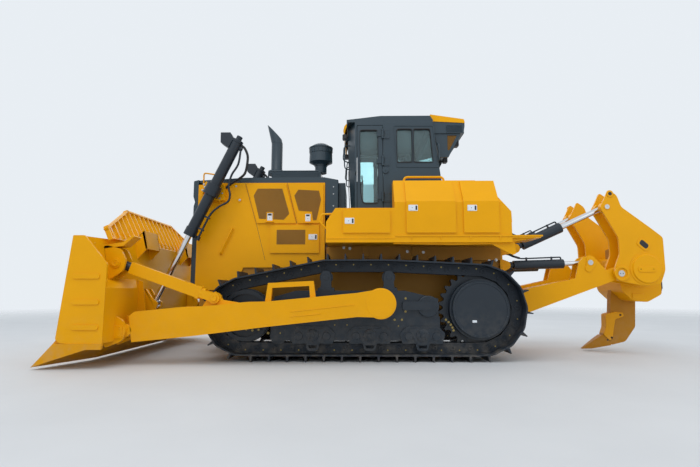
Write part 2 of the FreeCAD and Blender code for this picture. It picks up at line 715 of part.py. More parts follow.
def tube_along(points, radius, bend):
    """Round bar along straight runs, with an arc of the given radius at each inner point."""
    edges = []
    start = points[0]
    for before, corner, after in zip(points, points[1:], points[2:]):
        u = before.sub(corner).normalize()
        w = after.sub(corner).normalize()
        half = u.getAngle(w) / 2
        reach = bend / math.tan(half)
        p = corner + u * reach
        q = corner + w * reach
        middle = (u + w).normalize()
        centre = corner + middle * (bend / math.sin(half))
        edges.append(Part.LineSegment(start, p).toShape())
        edges.append(Part.Arc(p, centre - middle * bend, q).toShape())
        start = q
    edges.append(Part.LineSegment(start, points[-1]).toShape())
    path = Part.Wire(edges)
    way = points[1].sub(points[0])
    ring = Part.Wire(Part.makeCircle(radius, points[0], way))
    return path.makePipeShell([ring], True, False)


RAIL_TUBE = 18.0
RAIL_BEND = 60.0
TOP_RAIL_X = (-339.0, -964.0)
TOP_RAIL_Y = 1050.0
TOP_RAIL_Z = 2790.0
REAR_RAIL_Y = 1330.0


def handrails():
    """Loop on top of the rear box and the bent rail down its sloping back."""
    front, back = TOP_RAIL_X
    loop = [(front, HIGH_BOX_TOP), (front, TOP_RAIL_Z), (back, TOP_RAIL_Z), (back, HIGH_BOX_TOP)]
    top = tube_along([Vector(x, TOP_RAIL_Y, z) for x, z in loop], RAIL_TUBE, RAIL_BEND)
    return Part.Compound([top])


def work_lamps():
    lamps = []
    for y in (500.0,):
        lamps.append(block(CAB_FRONT + 20, CAB_FRONT + 120, y - 70, y + 70, 3600, 3740))
    return Part.Compound(lamps)


# Blade: closed section with a concave front, at the middle and at the end of a wing

def blade_section(y, front, recess, top_front, back):
    """Closed outline of the moldboard and the box behind its lower half."""
    a = Vector(front, y, BLADE_LOW)
    mid = Vector(recess, y, 980)
    b = Vector(top_front, y, BLADE_TOP)
    c = Vector(top_front - 75, y, BLADE_TOP)
    d = Vector(recess - 60, y, 1180)
    e = Vector(back, y, 1050)
    f = Vector(back, y, BLADE_LOW)
    edges = [Part.Arc(a, mid, b).toShape()]
    corners = [b, c, d, e, f, a]
    edges += [Part.LineSegment(p, q).toShape() for p, q in zip(corners, corners[1:])]
    return Part.Wire(edges)


MID_FRONT = 4010.0
MID_RECESS = 3790.0
MID_TOP = 3895.0
END_FRONT = 4290.0
END_RECESS = 4060.0
END_TOP = 4161.0


def blade():
    wing_end = BLADE_HALF - END_PLATE
    middle = Part.Face(blade_section(-WING_Y, MID_FRONT, MID_RECESS, MID_TOP, BLADE_BACK))
    middle = middle.extrude(Vector(0, 2 * WING_Y, 0))
    wing = Part.makeLoft([blade_section(WING_Y, MID_FRONT, MID_RECESS, MID_TOP, BLADE_BACK),
                          blade_section(wing_end, END_FRONT, END_RECESS, END_TOP, BLADE_BACK)], True, True)
    end = plate([(4161, BLADE_TOP), (4021, BLADE_TOP), (BLADE_BACK, 1365), (BLADE_BACK, 330), (4250, 330),
                 (4307, 392)], wing_end, BLADE_HALF)
    guard = bar([(-1990, BLADE_TOP - 20), (-1600, 2209), (1600, 2209), (1990, BLADE_TOP - 20)], 3860, 3895)
    foot = plate([(BLADE_BACK + 20, 886), (3534, 700), (3534, 470), (BLADE_BACK + 20, 300)], ARM_OUT, ARM_OUT + 70)
    inner_foot = plate([(BLADE_BACK + 20, 886), (3534, 700), (3534, 470), (BLADE_BACK + 20, 300)],
                       ARM_IN - 70, ARM_IN)
    brace_ear = [plate([(3720, 1460), (3950, 1560), (3900, 1250), (3720, 1340)], y, y + 40)
                 for y in (ARM_MID - 110, ARM_MID + 70)]
    eye_ears = [plate([(BLADE_BACK + 10, 1000), (3530, 880), (3500, 812), (3530, 740), (BLADE_BACK + 10, 640)], y, y + 40)
                for y in (LIFT_Y - 110, LIFT_Y + 70)]
    side = [wing, end, foot, inner_foot] + brace_ear + eye_ears
    return fuse([middle, guard] + side + [mirrored(s) for s in side])


def edge_section(y, front):
    points = [(front - 60, 336), (front + 17, 392), (front + 308, 31), (front + 236, 40), (front - 60, 256)]
    corners = [Vector(x, y, z) for x, z in points]
    return Part.makePolygon(corners + corners[:1])


def cutting_edge():
    wing_end = BLADE_HALF - END_PLATE
    middle = Part.Face(edge_section(-WING_Y, MID_FRONT)).extrude(Vector(0, 2 * WING_Y, 0))
    wing = Part.makeLoft([edge_section(WING_Y, MID_FRONT), edge_section(wing_end, END_FRONT)], True, True)
    bit = plate([(4250, 329), (BLADE_BACK, 329), (3707, 256), (3901, 256), (4381, 104), (4598, 31), (4331, 329)],
                wing_end, BLADE_HALF)
    side = [wing, bit]
    whole = fuse([middle] + side + [mirrored(s) for s in side])
    return whole.cut(block(BLADE_BACK - 10, 5000, -3000, 3000, BLADE_LOW, 500).common(blade()))


def push_arm():
    outline = [(3544, 663), (3491, 313), (2684, 393), (1659, 520), (395, 656), (175, 650), (175, 1020), (395, 983),
               (1648, 864), (1962, 856), (2300, 820), (2512, 800), (2825, 790), (3474, 726)]
    bar_arm = plate(outline, ARM_IN, ARM_OUT)
    end = round_y(PIVOT_X, PIVOT_Z, ARM_END_R, ARM_IN, ARM_OUT)
    lug = plate([(2512, 780), (2444, 961), (2393, 1000), (2330, 960), (2250, 780)], ARM_MID - 35, ARM_MID + 35)
    hoop = hoop_step()
    socket = round_y(PIVOT_X, PIVOT_Z, PIVOT_R + FIT, ARM_IN - 1, ARM_OUT - 60 + RUN_GAP)
    brace_bore = round_y(BRACE_FOOT[0], BRACE_FOOT[1], BRACE_PIN_R + SEAT, ARM_IN, ARM_OUT)
    return fuse([bar_arm, end, lug, hoop]).cut(socket).cut(brace_bore)


def hoop_step():
    outer = plate([(976, 900), (1010, 1150), (1650, 1120), (1688, 850)], ARM_MID - 35, ARM_MID + 35)
    inner = plate([(1040, 700), (1070, 1080), (1590, 1052), (1620, 700)], ARM_MID - 36, ARM_MID + 36)
    return outer.cut(inner)


def brace():
    direction, length = unit(BRACE_FOOT, BRACE_TOP)
    body = rod(along(BRACE_FOOT, direction, 190, ARM_MID), along(BRACE_FOOT, direction, length - 60, ARM_MID), BRACE_R)
    fork = []
    for y in (ARM_MID - 76, ARM_MID + 41):
        fork.append(round_y(BRACE_FOOT[0], BRACE_FOOT[1], 75, y, y + 35))
        fork.append(rod(along(BRACE_FOOT, direction, 0, y + 17), along(BRACE_FOOT, direction, 215, y + 17), 17))
        cheek = plate([(BRACE_FOOT[0] - 20, BRACE_FOOT[1] + 60), (BRACE_FOOT[0] + 40, BRACE_FOOT[1] - 50),
                       (BRACE_FOOT[0] + 220, BRACE_FOOT[1] + 20), (BRACE_FOOT[0] + 180, BRACE_FOOT[1] + 125)],
                      y, y + 35)
        fork.append(cheek)
    pin = round_y(BRACE_FOOT[0], BRACE_FOOT[1], BRACE_PIN_R, ARM_MID - 76, ARM_MID + 76)
    bridge = rod(along(BRACE_FOOT, direction, 165, ARM_MID), along(BRACE_FOOT, direction, 225, ARM_MID), 78)
    eye = round_y(BRACE_TOP[0], BRACE_TOP[1], 65, ARM_MID - 70, ARM_MID + 70)
    return fuse([body, bridge, eye, pin] + fork)


def lift_barrel():
    direction, length = unit(LIFT_PIN, LIFT_EYE)
    top = along(LIFT_PIN, direction, -LIFT_ABOVE, LIFT_Y)
    gland = along(LIFT_PIN, direction, LIFT_GLAND, LIFT_Y)
    barrel = rod(top, gland, LIFT_BARREL_R)
    bore = rod(along(LIFT_PIN, direction, -LIFT_ABOVE + 60, LIFT_Y),
               along(LIFT_PIN, direction, LIFT_GLAND - 60, LIFT_Y), LIFT_BORE_R)
    through = rod(along(LIFT_PIN, direction, 0, LIFT_Y), along(LIFT_PIN, direction, LIFT_GLAND + 10, LIFT_Y),
                  LIFT_ROD_R + SEAT)
    stub = round_y(LIFT_PIN[0], LIFT_PIN[1], 55, HOOD_Y + 30, LIFT_Y)
    clamp = rod(along(LIFT_PIN, direction, -90, LIFT_Y), along(LIFT_PIN, direction, 90, LIFT_Y), 125)
    return fuse([barrel, clamp, stub]).cut(bore).cut(through)


def lift_rod():
    direction, length = unit(LIFT_PIN, LIFT_EYE)
    shaft = rod(along(LIFT_PIN, direction, 200, LIFT_Y), along(LIFT_PIN, direction, length - 40, LIFT_Y), LIFT_ROD_R)
    piston = rod(along(LIFT_PIN, direction, 180, LIFT_Y), along(LIFT_PIN, direction, 280, LIFT_Y), LIFT_BORE_R - SEAT)
    eye = round_y(LIFT_EYE[0], LIFT_EYE[1], 85, LIFT_Y - 60, LIFT_Y + 60)
    return fuse([shaft, piston, eye])


def lift_bracket():
    """Bearing block on the hood side that carries a lift cylinder's trunnion."""
    body = plate([(2560, 2480), (2880, 2480), (2880, 2700), (2800, 2780), (2640, 2780), (2560, 2700)],
                 HOOD_Y, LIFT_Y - 135)
    return body.cut(round_y(LIFT_PIN[0], LIFT_PIN[1], 55 + FIT, HOOD_Y + 20, LIFT_Y))


# Ripper

def ear(pin, radius, root, y0, y1):
    """Rounded lug plate round a pin, from the root line on its carrier."""
    hull = plate([root[0], root[1], (pin[0] - radius * 0.5, pin[1] + radius * 0.87),
                  (pin[0] - radius * 0.5, pin[1] - radius * 0.87)], y0, y1)
    return fuse([hull, round_y(pin[0], pin[1], radius, y0, y1)])


def ripper_bracket():
    """Rear plate with the ears and pins that carry the ripper's arms and cylinders."""
    face = -1920.0
    pairs = [
        (RIP_ARM_PIN, 110, (face, 560), (face, 900), RIP_ARM_IN - 8 - RIP_EAR, RIP_ARM_OUT + 8, RIP_ARM_PIN_R),
        (RIP_LIFT_BASE, 70, (face, 1300), (face, 1540), RIP_MID - RIP_EYE_HALF - 6 - RIP_EAR,
         RIP_MID + RIP_EYE_HALF + 6, RIP_LIFT_PIN_R),
        (RIP_TILT_BASE, 75, (face, 1580), (face, 1780), RIP_MID - RIP_EYE_HALF - 6 - RIP_EAR,
         RIP_MID + RIP_EYE_HALF + 6, RIP_TILT_PIN_R),
    ]
    solids = []
    for pin, radius, low, high, inner, outer, pin_r in pairs:
        solids.append(ear(pin, radius, (low, high), inner, inner + RIP_EAR))
        solids.append(ear(pin, radius, (low, high), outer, outer + RIP_EAR))
        solids.append(round_y(pin[0], pin[1], pin_r, inner, outer + RIP_EAR))
    back = block(-1940, -1900, -715, 715, 520, 1790)
    return fuse([back] + solids + [mirrored(s) for s in solids])


def ripper_arms():
    arm = plate([(-2090, 620), (-2325, 664), (-3655, 1150), (-3790, 1200), (-3850, 1378),
                 (-3605, 1345), (-3502, 1473), (-3430, 1560), (-3366, 1586), (-3250, 1545),
                 (-3183, 1473), (-3112, 1211), (-2332, 1049), (-2120, 840)], RIP_ARM_IN, RIP_ARM_OUT)
    front = round_y(RIP_ARM_PIN[0], RIP_ARM_PIN[1], 115, RIP_ARM_IN, RIP_ARM_OUT)
    end = round_y(RIP_BEAM_PIN[0], RIP_BEAM_PIN[1], 105, RIP_ARM_IN, RIP_ARM_OUT)
    slot = plate([(-2600, 1150), (-2600, 1800), (-3620, 1800), (-3520, 1400), (-3362, 1300), (-3000, 1160)],
                 RIP_MID - RIP_SLOT, RIP_MID + RIP_SLOT)
    arm = fuse([arm, front, end]).cut(slot)
    arm = arm.cut(round_y(RIP_ARM_PIN[0], RIP_ARM_PIN[1], RIP_ARM_PIN_R + FIT, RIP_ARM_IN - 1, RIP_ARM_OUT + 1))
    arm = arm.cut(round_y(RIP_BEAM_PIN[0], RIP_BEAM_PIN[1], RIP_BEAM_PIN_R + FIT, RIP_ARM_IN - 1, RIP_ARM_OUT + 1))
    tube = rod(Vector(-2700, -RIP_ARM_IN - 10, 930), Vector(-2700, RIP_ARM_IN + 10, 930), 110)
    return fuse([arm, mirrored(arm), tube])


BEAM_OUT = RIP_ARM_OUT + RIP_SIDE_GAP
BEAM_IN = RIP_ARM_IN - RIP_SIDE_GAP - RIP_PLATE


def ripper_pins():
    """Two beam pins, each through an arm's end and the beam plates beside it."""
    return both(round_y(RIP_BEAM_PIN[0], RIP_BEAM_PIN[1], RIP_BEAM_PIN_R, BEAM_IN, BEAM_OUT + RIP_PLATE))


def ripper_beam():
    """Two pairs of plates joined by the shank's pocket box."""
    outline = [(-3758, 2656), (-3835, 2580), (-3893, 2371), (-3964, 2337), (-4458, 2014), (-4639, 1866),
               (-4628, 1300), (-4450, 1130), (-4222, 1090), (-3984, 1128), (-3740, 1190), (-3700, 1289),
               (-3737, 1412), (-3813, 1574), (-3843, 1769), (-3776, 1966), (-3551, 2364), (-3600, 2440)]
    plates = [plate(outline, y, y + RIP_PLATE) for y in (BEAM_OUT, BEAM_IN)]
    plates = [p.cut(round_y(RIP_BEAM_PIN[0], RIP_BEAM_PIN[1], RIP_BEAM_PIN_R + FIT, 0, 900)) for p in plates]
    cover = round_y(-4222, 1361, 250, BEAM_OUT + RIP_PLATE - 1, BEAM_OUT + RIP_PLATE + 35)
    core = round_y(-4222, 1361, 230, BEAM_IN + 10, BEAM_OUT + 10)
    bosses = [round_y(RIP_TILT_EYE[0], RIP_TILT_EYE[1], 88, RIP_MID + 48, BEAM_OUT + 10),
              round_y(RIP_TILT_EYE[0], RIP_TILT_EYE[1], 88, BEAM_IN + RIP_PLATE - 10, RIP_MID - 48)]
    box = plate([(-3960, 1150), (-4214, 862), (-4493, 829), (-4640, 995), (-4628, 1565), (-4350, 1650), (-3960, 1560)],
                -BEAM_IN - 10, BEAM_IN + 10)
    pocket = block(-4440, -3990, -SHANK_HALF - SEAT, SHANK_HALF + SEAT, 700, 1800)
    side = plates + [cover, core] + bosses
    return fuse([box.cut(pocket)] + side + [mirrored(s) for s in side])


def ripper_shank():
    return plate([(-3990 - SEAT, 1740), (-3990 - SEAT, 1080), (-3965, 1060), (-3965, 660), (-3935, 560),
                  (-3800, 330), (-3700, 220), (-3760, 150), (-4100, 130), (-4300, 350), (-4380, 807),
                  (-4430, 1740)], -SHANK_HALF, SHANK_HALF)


def ripper_tooth():
    tip = plate([(-3640, 290), (-3700, 220), (-3760, 150), (-3880, 137), (-3840, 60), (-3460, 45), (-3540, 170)],
                -SHANK_HALF - 5, SHANK_HALF + 5)
    return tip.cut(ripper_shank())


def cylinder_pair(base, pin_r, eye, y, sizes):
    """Barrel with a base eye, and rod with a piston and an eye, for one side."""
    barrel_r, rod_r, gland, rod_back = sizes
    direction, length = unit(base, eye)
    bore_r = barrel_r - 16
    neck_end = barrel_r + 65
    head = round_y(base[0], base[1], 66, y - RIP_EYE_HALF, y + RIP_EYE_HALF)
    neck = rod(along(base, direction, 0, y), along(base, direction, neck_end + 5, y), 42)
    body = rod(along(base, direction, neck_end, y), along(base, direction, gland, y), barrel_r)
    bore = rod(along(base, direction, neck_end + 40, y), along(base, direction, gland - 50, y), bore_r)
    through = rod(along(base, direction, gland - 60, y), along(base, direction, gland + 5, y), rod_r + SEAT)
    barrel = fuse([head, neck, body]).cut(bore).cut(through)
    barrel = barrel.cut(round_y(base[0], base[1], pin_r + FIT, y - 100, y + 100))
    shaft = rod(along(base, direction, rod_back, y), along(base, direction, length - 40, y), rod_r)
    piston = rod(along(base, direction, rod_back, y), along(base, direction, rod_back + 60, y), bore_r - SEAT)
    end = round_y(eye[0], eye[1], rod_r * 1.35, y - 40, y + 40)
    return barrel, fuse([shaft, piston, end])


def build():
    os.makedirs("parts", exist_ok=True)
    left_track = track()
    save("track_left", left_track)
    save("track_right", mirrored(left_track))
    save("sprockets", both(sprocket()))
    save("idlers", both(idler()))
    save("track_rollers", both(rollers()))
    left_frame = track_frame()
    save("track_frame_left", left_frame)
    save("track_frame_right", mirrored(left_frame))
    save("main_frame", main_frame())
    save("radiator_guard", radiator_guard())
    save("hood", hood())
    save("hood_cover", hood_cover())
    save("engine_block", engine_block())
    save("exhaust_stack", exhaust())
    save("air_precleaner", precleaner())
    save("firewall", firewall())
    save("fender_left", fender(True))
    save("fender_right", mirrored(fender(False)))
    save("rear_tank", rear_tank())
    save("cab_body", cab_body())
    save("cab_glass", cab_glass())
    save("cab_roof", cab_roof())
    save("seat", seat())
    save("console", console())
    save("air_conditioner", air_conditioner())
    save("handrails", both(handrails()))
    save("work_lamps", both(work_lamps()))
    save("lift_brackets", both(lift_bracket()))
    for name in ENGINE_DOORS:
        door = engine_door(name)
        save(name + "_left", door)
        save(name + "_right", mirrored(door))
    for name in BOX_DOORS:
        save(name, box_door(name))
    door = cab_door()
    pane = cab_door_glass()
    save("cab_door_left", door)
    save("cab_door_right", mirrored(door))
    save("cab_door_glass_left", pane)
    save("cab_door_glass_right", mirrored(pane))
    save("blade", blade())
    save("cutting_edge", cutting_edge())
    arm = push_arm()
    save("push_arm_left", arm)
    save("push_arm_right", mirrored(arm))
    save("brace_left", brace())
    save("brace_right", mirrored(brace()))
    save("lift_barrels", both(lift_barrel()))
    save("lift_rods", both(lift_rod()))
    save("ripper_bracket", ripper_bracket())
    save("ripper_arms", ripper_arms())
    save("ripper_pins", ripper_pins())
    save("ripper_beam", ripper_beam())
    save("ripper_shank", ripper_shank())
    save("ripper_tooth", ripper_tooth())
    barrel, piston = cylinder_pair(RIP_LIFT_BASE, RIP_LIFT_PIN_R, RIP_LIFT_EYE, RIP_MID, RIP_LIFT_BARREL)
    save("ripper_lift_barrels", both(barrel))
    save("ripper_lift_rods", both(piston))
    barrel, piston = cylinder_pair(RIP_TILT_BASE, RIP_TILT_PIN_R, RIP_TILT_EYE, RIP_MID, RIP_TILT_BARREL)
    save("ripper_tilt_barrels", both(barrel))
    save("ripper_tilt_rods", both(piston))


build()
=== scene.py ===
"""Crawler bulldozer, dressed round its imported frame. Metres, +X towards the blade, +Y left, +Z up."""
import json
import math

import bmesh
import bpy
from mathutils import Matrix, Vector


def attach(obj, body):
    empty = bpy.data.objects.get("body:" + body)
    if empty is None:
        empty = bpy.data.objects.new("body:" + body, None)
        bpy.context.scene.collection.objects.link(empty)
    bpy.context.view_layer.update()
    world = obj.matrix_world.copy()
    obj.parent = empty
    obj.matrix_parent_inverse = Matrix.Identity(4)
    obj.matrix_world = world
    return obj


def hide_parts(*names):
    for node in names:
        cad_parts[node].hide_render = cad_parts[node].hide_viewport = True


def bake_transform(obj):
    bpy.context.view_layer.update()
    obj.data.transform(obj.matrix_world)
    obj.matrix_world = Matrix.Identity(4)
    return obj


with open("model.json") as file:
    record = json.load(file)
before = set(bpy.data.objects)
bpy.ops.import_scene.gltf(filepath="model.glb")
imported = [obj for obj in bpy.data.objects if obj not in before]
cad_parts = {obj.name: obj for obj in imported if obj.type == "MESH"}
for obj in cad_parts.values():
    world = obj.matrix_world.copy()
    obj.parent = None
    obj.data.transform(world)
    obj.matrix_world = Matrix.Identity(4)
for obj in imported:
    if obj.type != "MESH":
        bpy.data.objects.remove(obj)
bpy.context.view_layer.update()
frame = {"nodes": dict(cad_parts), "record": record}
nodes = frame["nodes"]

# Camera, as the photograph was taken
CAMERA_AT = Vector((0.4, 8.256, 0.995))
CAMERA_PITCH = math.radians(7.14)
CAMERA_YAW = math.radians(0.86)
LENS = 24.02
SENSOR = 36.0


# Node material helpers

def new_material(name):
    material = bpy.data.materials.new(name)
    material.use_nodes = True
    material.node_tree.nodes.clear()
    return material


class Nodes:
    """Short names for adding and linking shader nodes."""

    def __init__(self, material):
        self.tree = material.node_tree

    def principled(self):
        """Object coordinates, and a principled shader linked to the surface."""
        where = self.add("ShaderNodeTexCoord").outputs["Object"]
        shader = self.add("ShaderNodeBsdfPrincipled")
        self.link(shader.outputs[0], self.add("ShaderNodeOutputMaterial").inputs["Surface"])
        return where, shader

    def add(self, kind, **values):
        node = self.tree.nodes.new(kind)
        for key, value in values.items():
            setattr(node, key, value)
        return node

    def link(self, source, target):
        self.tree.links.new(source, target)

    def noise(self, vector, scale, detail=4.0, rough=0.55):
        node = self.add("ShaderNodeTexNoise")
        node.inputs["Scale"].default_value = scale
        node.inputs["Detail"].default_value = detail
        node.inputs["Roughness"].default_value = rough
        self.link(vector, node.inputs["Vector"])
        return node.outputs["Fac"]

    def ramp(self, value, low, high, out_low=0.0, out_high=1.0):
        node = self.add("ShaderNodeMapRange", clamp=True)
        node.inputs["From Min"].default_value = low
        node.inputs["From Max"].default_value = high
        node.inputs["To Min"].default_value = out_low
        node.inputs["To Max"].default_value = out_high
        self.link(value, node.inputs["Value"])
        return node.outputs["Result"]

    def math(self, kind, a, b):
        node = self.add("ShaderNodeMath", operation=kind)
        for socket, value in zip(node.inputs, (a, b)):
            if isinstance(value, (int, float)):
                socket.default_value = value
            else:
                self.link(value, socket)
        return node.outputs["Value"]

    def mix(self, share, first, second):
        """Colour mix; a colour may be a tuple or a socket."""
        node = self.add("ShaderNodeMix", data_type="RGBA")
        if isinstance(share, (int, float)):
            node.inputs[0].default_value = share
        else:
            self.link(share, node.inputs[0])
        for socket, value in ((node.inputs[6], first), (node.inputs[7], second)):
            if isinstance(value, tuple):
                socket.default_value = (*value, 1.0)
            else:
                self.link(value, socket)
        return node.outputs[2]


def edge_mask(n, radius, sharp):
    """Near 1 on convex and concave edges, 0 on open faces."""
    bevel = n.add("ShaderNodeBevel", samples=4)
    bevel.inputs["Radius"].default_value = radius
    geometry = n.add("ShaderNodeNewGeometry")
    dot = n.add("ShaderNodeVectorMath", operation="DOT_PRODUCT")
    n.link(bevel.outputs["Normal"], dot.inputs[0])
    n.link(geometry.outputs["Normal"], dot.inputs[1])
    return n.ramp(dot.outputs["Value"], 1.0, 1.0 - sharp)


def paint(name, colour, dust=(0.42, 0.35, 0.26), dust_top=0.9, dust_share=0.0, rough=0.38,
          coat=0.0, patch=0.1, edge=None, metallic=0.0, grain=0.0, gloss=0.5):
    """Sprayed paint: slight colour drift, dust low down, an edge colour along edges (wear, and on the paints where it
    is lighter also painted highlight) and fine orange peel.
    """
    material = new_material(name)
    n = Nodes(material)
    where, shader = n.principled()
    darker = tuple(c * (1.0 - patch) for c in colour)
    lighter = tuple(min(1.0, c * (1.0 + patch)) for c in colour)
    base = n.mix(n.noise(where, 1.7, 5.0), darker, lighter)
    fine = n.noise(where, 60.0, 3.0)
    split = n.add("ShaderNodeSeparateXYZ")
    n.link(where, split.inputs[0])
    low = n.ramp(split.outputs["Z"], dust_top, 0.0, 0.0, dust_share)
    speckle = n.ramp(n.noise(where, 9.0, 6.0), 0.42, 0.68)
    dusty = n.math("MULTIPLY", low, speckle)
    base = n.mix(dusty, base, dust)
    # Edge colour: where lighter than the base it is painted highlight mixed with wear, where darker it is wear.
    if edge:
        edge_wear_and_highlight = n.math("MULTIPLY", edge_mask(n, 0.006, 0.25), n.ramp(n.noise(where, 14.0), 0.45, 0.62))
        base = n.mix(n.math("MULTIPLY", edge_wear_and_highlight, 0.6), base, edge)
    n.link(base, shader.inputs["Base Color"])
    n.link(n.ramp(n.math("ADD", fine, dusty), 0.3, 1.3, rough - 0.05, rough + 0.3),
           shader.inputs["Roughness"])
    shader.inputs["Metallic"].default_value = metallic
    shader.inputs["Specular IOR Level"].default_value = gloss
    shader.inputs["Coat Weight"].default_value = coat
    shader.inputs["Coat Roughness"].default_value = 0.12
    bump = n.add("ShaderNodeBump")
    bump.inputs["Strength"].default_value = 0.12 + grain
    bump.inputs["Distance"].default_value = 0.0015
    n.link(n.noise(where, 260.0 if grain == 0 else 120.0, 3.0), bump.inputs["Height"])
    n.link(bump.outputs[0], shader.inputs["Normal"])
    return material


def glass_material():
    material = new_material("tinted_glass")
    n = Nodes(material)
    where, shader = n.principled()
    n.link(n.mix(n.noise(where, 3.0), (0.5, 0.72, 0.74), (0.58, 0.78, 0.8)), shader.inputs["Base Color"])
    n.link(n.ramp(n.noise(where, 5.0), 0.3, 0.8, 0.01, 0.06), shader.inputs["Roughness"])
    shader.inputs["Transmission Weight"].default_value = 0.92
    shader.inputs["IOR"].default_value = 1.45
    return material


def chrome_material():
    material = new_material("chrome_rod")
    n = Nodes(material)
    where, shader = n.principled()
    n.link(n.mix(n.noise(where, 8.0), (0.62, 0.63, 0.65), (0.8, 0.81, 0.82)), shader.inputs["Base Color"])
    n.link(n.ramp(n.noise(where, 40.0), 0.3, 0.7, 0.1, 0.22), shader.inputs["Roughness"])
    shader.inputs["Metallic"].default_value = 1.0
    return material


YELLOW = (0.8, 0.365, 0.0015)
NAVY = (0.018, 0.038, 0.053)
UNDER = (0.007, 0.015, 0.025)
STEEL = (0.014, 0.021, 0.031)

# The lighter edge colours of the paints are painted highlight along edges mixed with wear; the darker ones of the
# steel and forging are wear.
MATERIALS = {
    "yellow": paint("yellow_paint", YELLOW, edge=(0.86, 0.52, 0.08), rough=0.34, coat=0.03, gloss=0.14,
                    dust_share=0.08),
    "edge_steel": paint("yellow_wear_steel", (0.7, 0.31, 0.002), edge=(0.3, 0.2, 0.1), rough=0.46, gloss=0.2,
                        dust_top=0.4, dust_share=0.45),
    "shank": paint("yellow_forging", (0.42, 0.18, 0.006), edge=(0.2, 0.11, 0.03), rough=0.5, grain=0.25,
                   gloss=0.25, patch=0.18, dust_share=0.15),
    # frame_brown is the yellow paint darkened as painted shade, with dust.
    "frame_brown": paint("shaded_yellow_frame_paint", (0.4, 0.18, 0.012), rough=0.5, patch=0.2, gloss=0.3, dust_share=0.35),
    "dark": paint("navy_paint", NAVY, edge=(0.09, 0.11, 0.13), rough=0.4, coat=0.1, dust_share=0.1),
    "under": paint("undercarriage_paint", UNDER, edge=(0.1, 0.12, 0.14), patch=0.2, dust_share=0.12),
    "track_steel": paint("track_paint", STEEL, edge=(0.11, 0.125, 0.14), rough=0.5, grain=0.3, patch=0.25,
                         gloss=0.35, dust_share=0.22),
    "engine": paint("engine_casting", (0.2, 0.2, 0.19), dust_share=0.35, rough=0.6, grain=0.3),
    "interior": paint("moulded_plastic", (0.02, 0.02, 0.022), rough=0.6, grain=0.2),
    "seat": paint("seat_fabric", (0.018, 0.018, 0.02), rough=0.85, grain=0.5),
    "lamp": paint("lamp_housing", (0.018, 0.02, 0.024), rough=0.5),
    "rod": chrome_material(),
    "glass": glass_material(),
    "brass_bolt": paint("brass_bolt", (0.36, 0.27, 0.09), metallic=0.7, rough=0.4),
    "zinc_bolt": paint("zinc_bolt", (0.55, 0.56, 0.57), metallic=0.8, rough=0.35),
    "rubber": paint("black_rubber", (0.014, 0.015, 0.017), rough=0.62, grain=0.15),
    "latch": paint("latch_plate", (0.72, 0.76, 0.8), rough=0.35, patch=0.04),
    # Painted shade in holes, slots and seams.
    "gap_shade": paint("latch_slot_shade", (0.01, 0.012, 0.016), rough=0.5),
    "screen": paint("screen_shadow", (0.22, 0.105, 0.012), rough=0.7, patch=0.25, grain=0.3),
    "lens": paint("lamp_lens", (0.62, 0.66, 0.7), metallic=0.3, rough=0.12, coat=1.0),
}

UNDER_NODES = ("sprockets", "idlers", "track_rollers", "track_frame_left", "track_frame_right",
               "ripper_lift_barrels", "ripper_tilt_barrels", "lift_barrels")

slot_of = {row["node"]: row["material_slot"] for row in frame["record"]["subparts"]}
for name, node in nodes.items():
    node.data.materials.clear()
    node.data.materials.append(MATERIALS["under" if name in UNDER_NODES else slot_of[name]])


# Mesh helpers

def two_across(axis):
    """Two unit vectors square to an axis and to each other."""
    axis = axis.normalized()
    helper = Vector((0, 0, 1)) if abs(axis.z) < 0.9 else Vector((1, 0, 0))
    first = axis.cross(helper).normalized()
    return first, axis.cross(first)


def rounded_route(points, steps=6):
    """Catmull-Rom curve through the points."""
    points = [Vector(point) for point in points]
    padded = [points[0] * 2 - points[1]] + points + [points[-1] * 2 - points[-2]]
    route = []
    for a, b, c, d in zip(padded, padded[1:], padded[2:], padded[3:]):
        for i in range(steps):
            t = i / steps
            route.append(0.5 * (2 * b + (c - a) * t + (2 * a - 5 * b + 4 * c - d) * t ** 2
                                + (3 * b - a - 3 * c + d) * t ** 3))
    route.append(points[-1])
    return route


Y_AXIS = Vector((0, 1, 0))
UP = Vector((0, 0, 1))


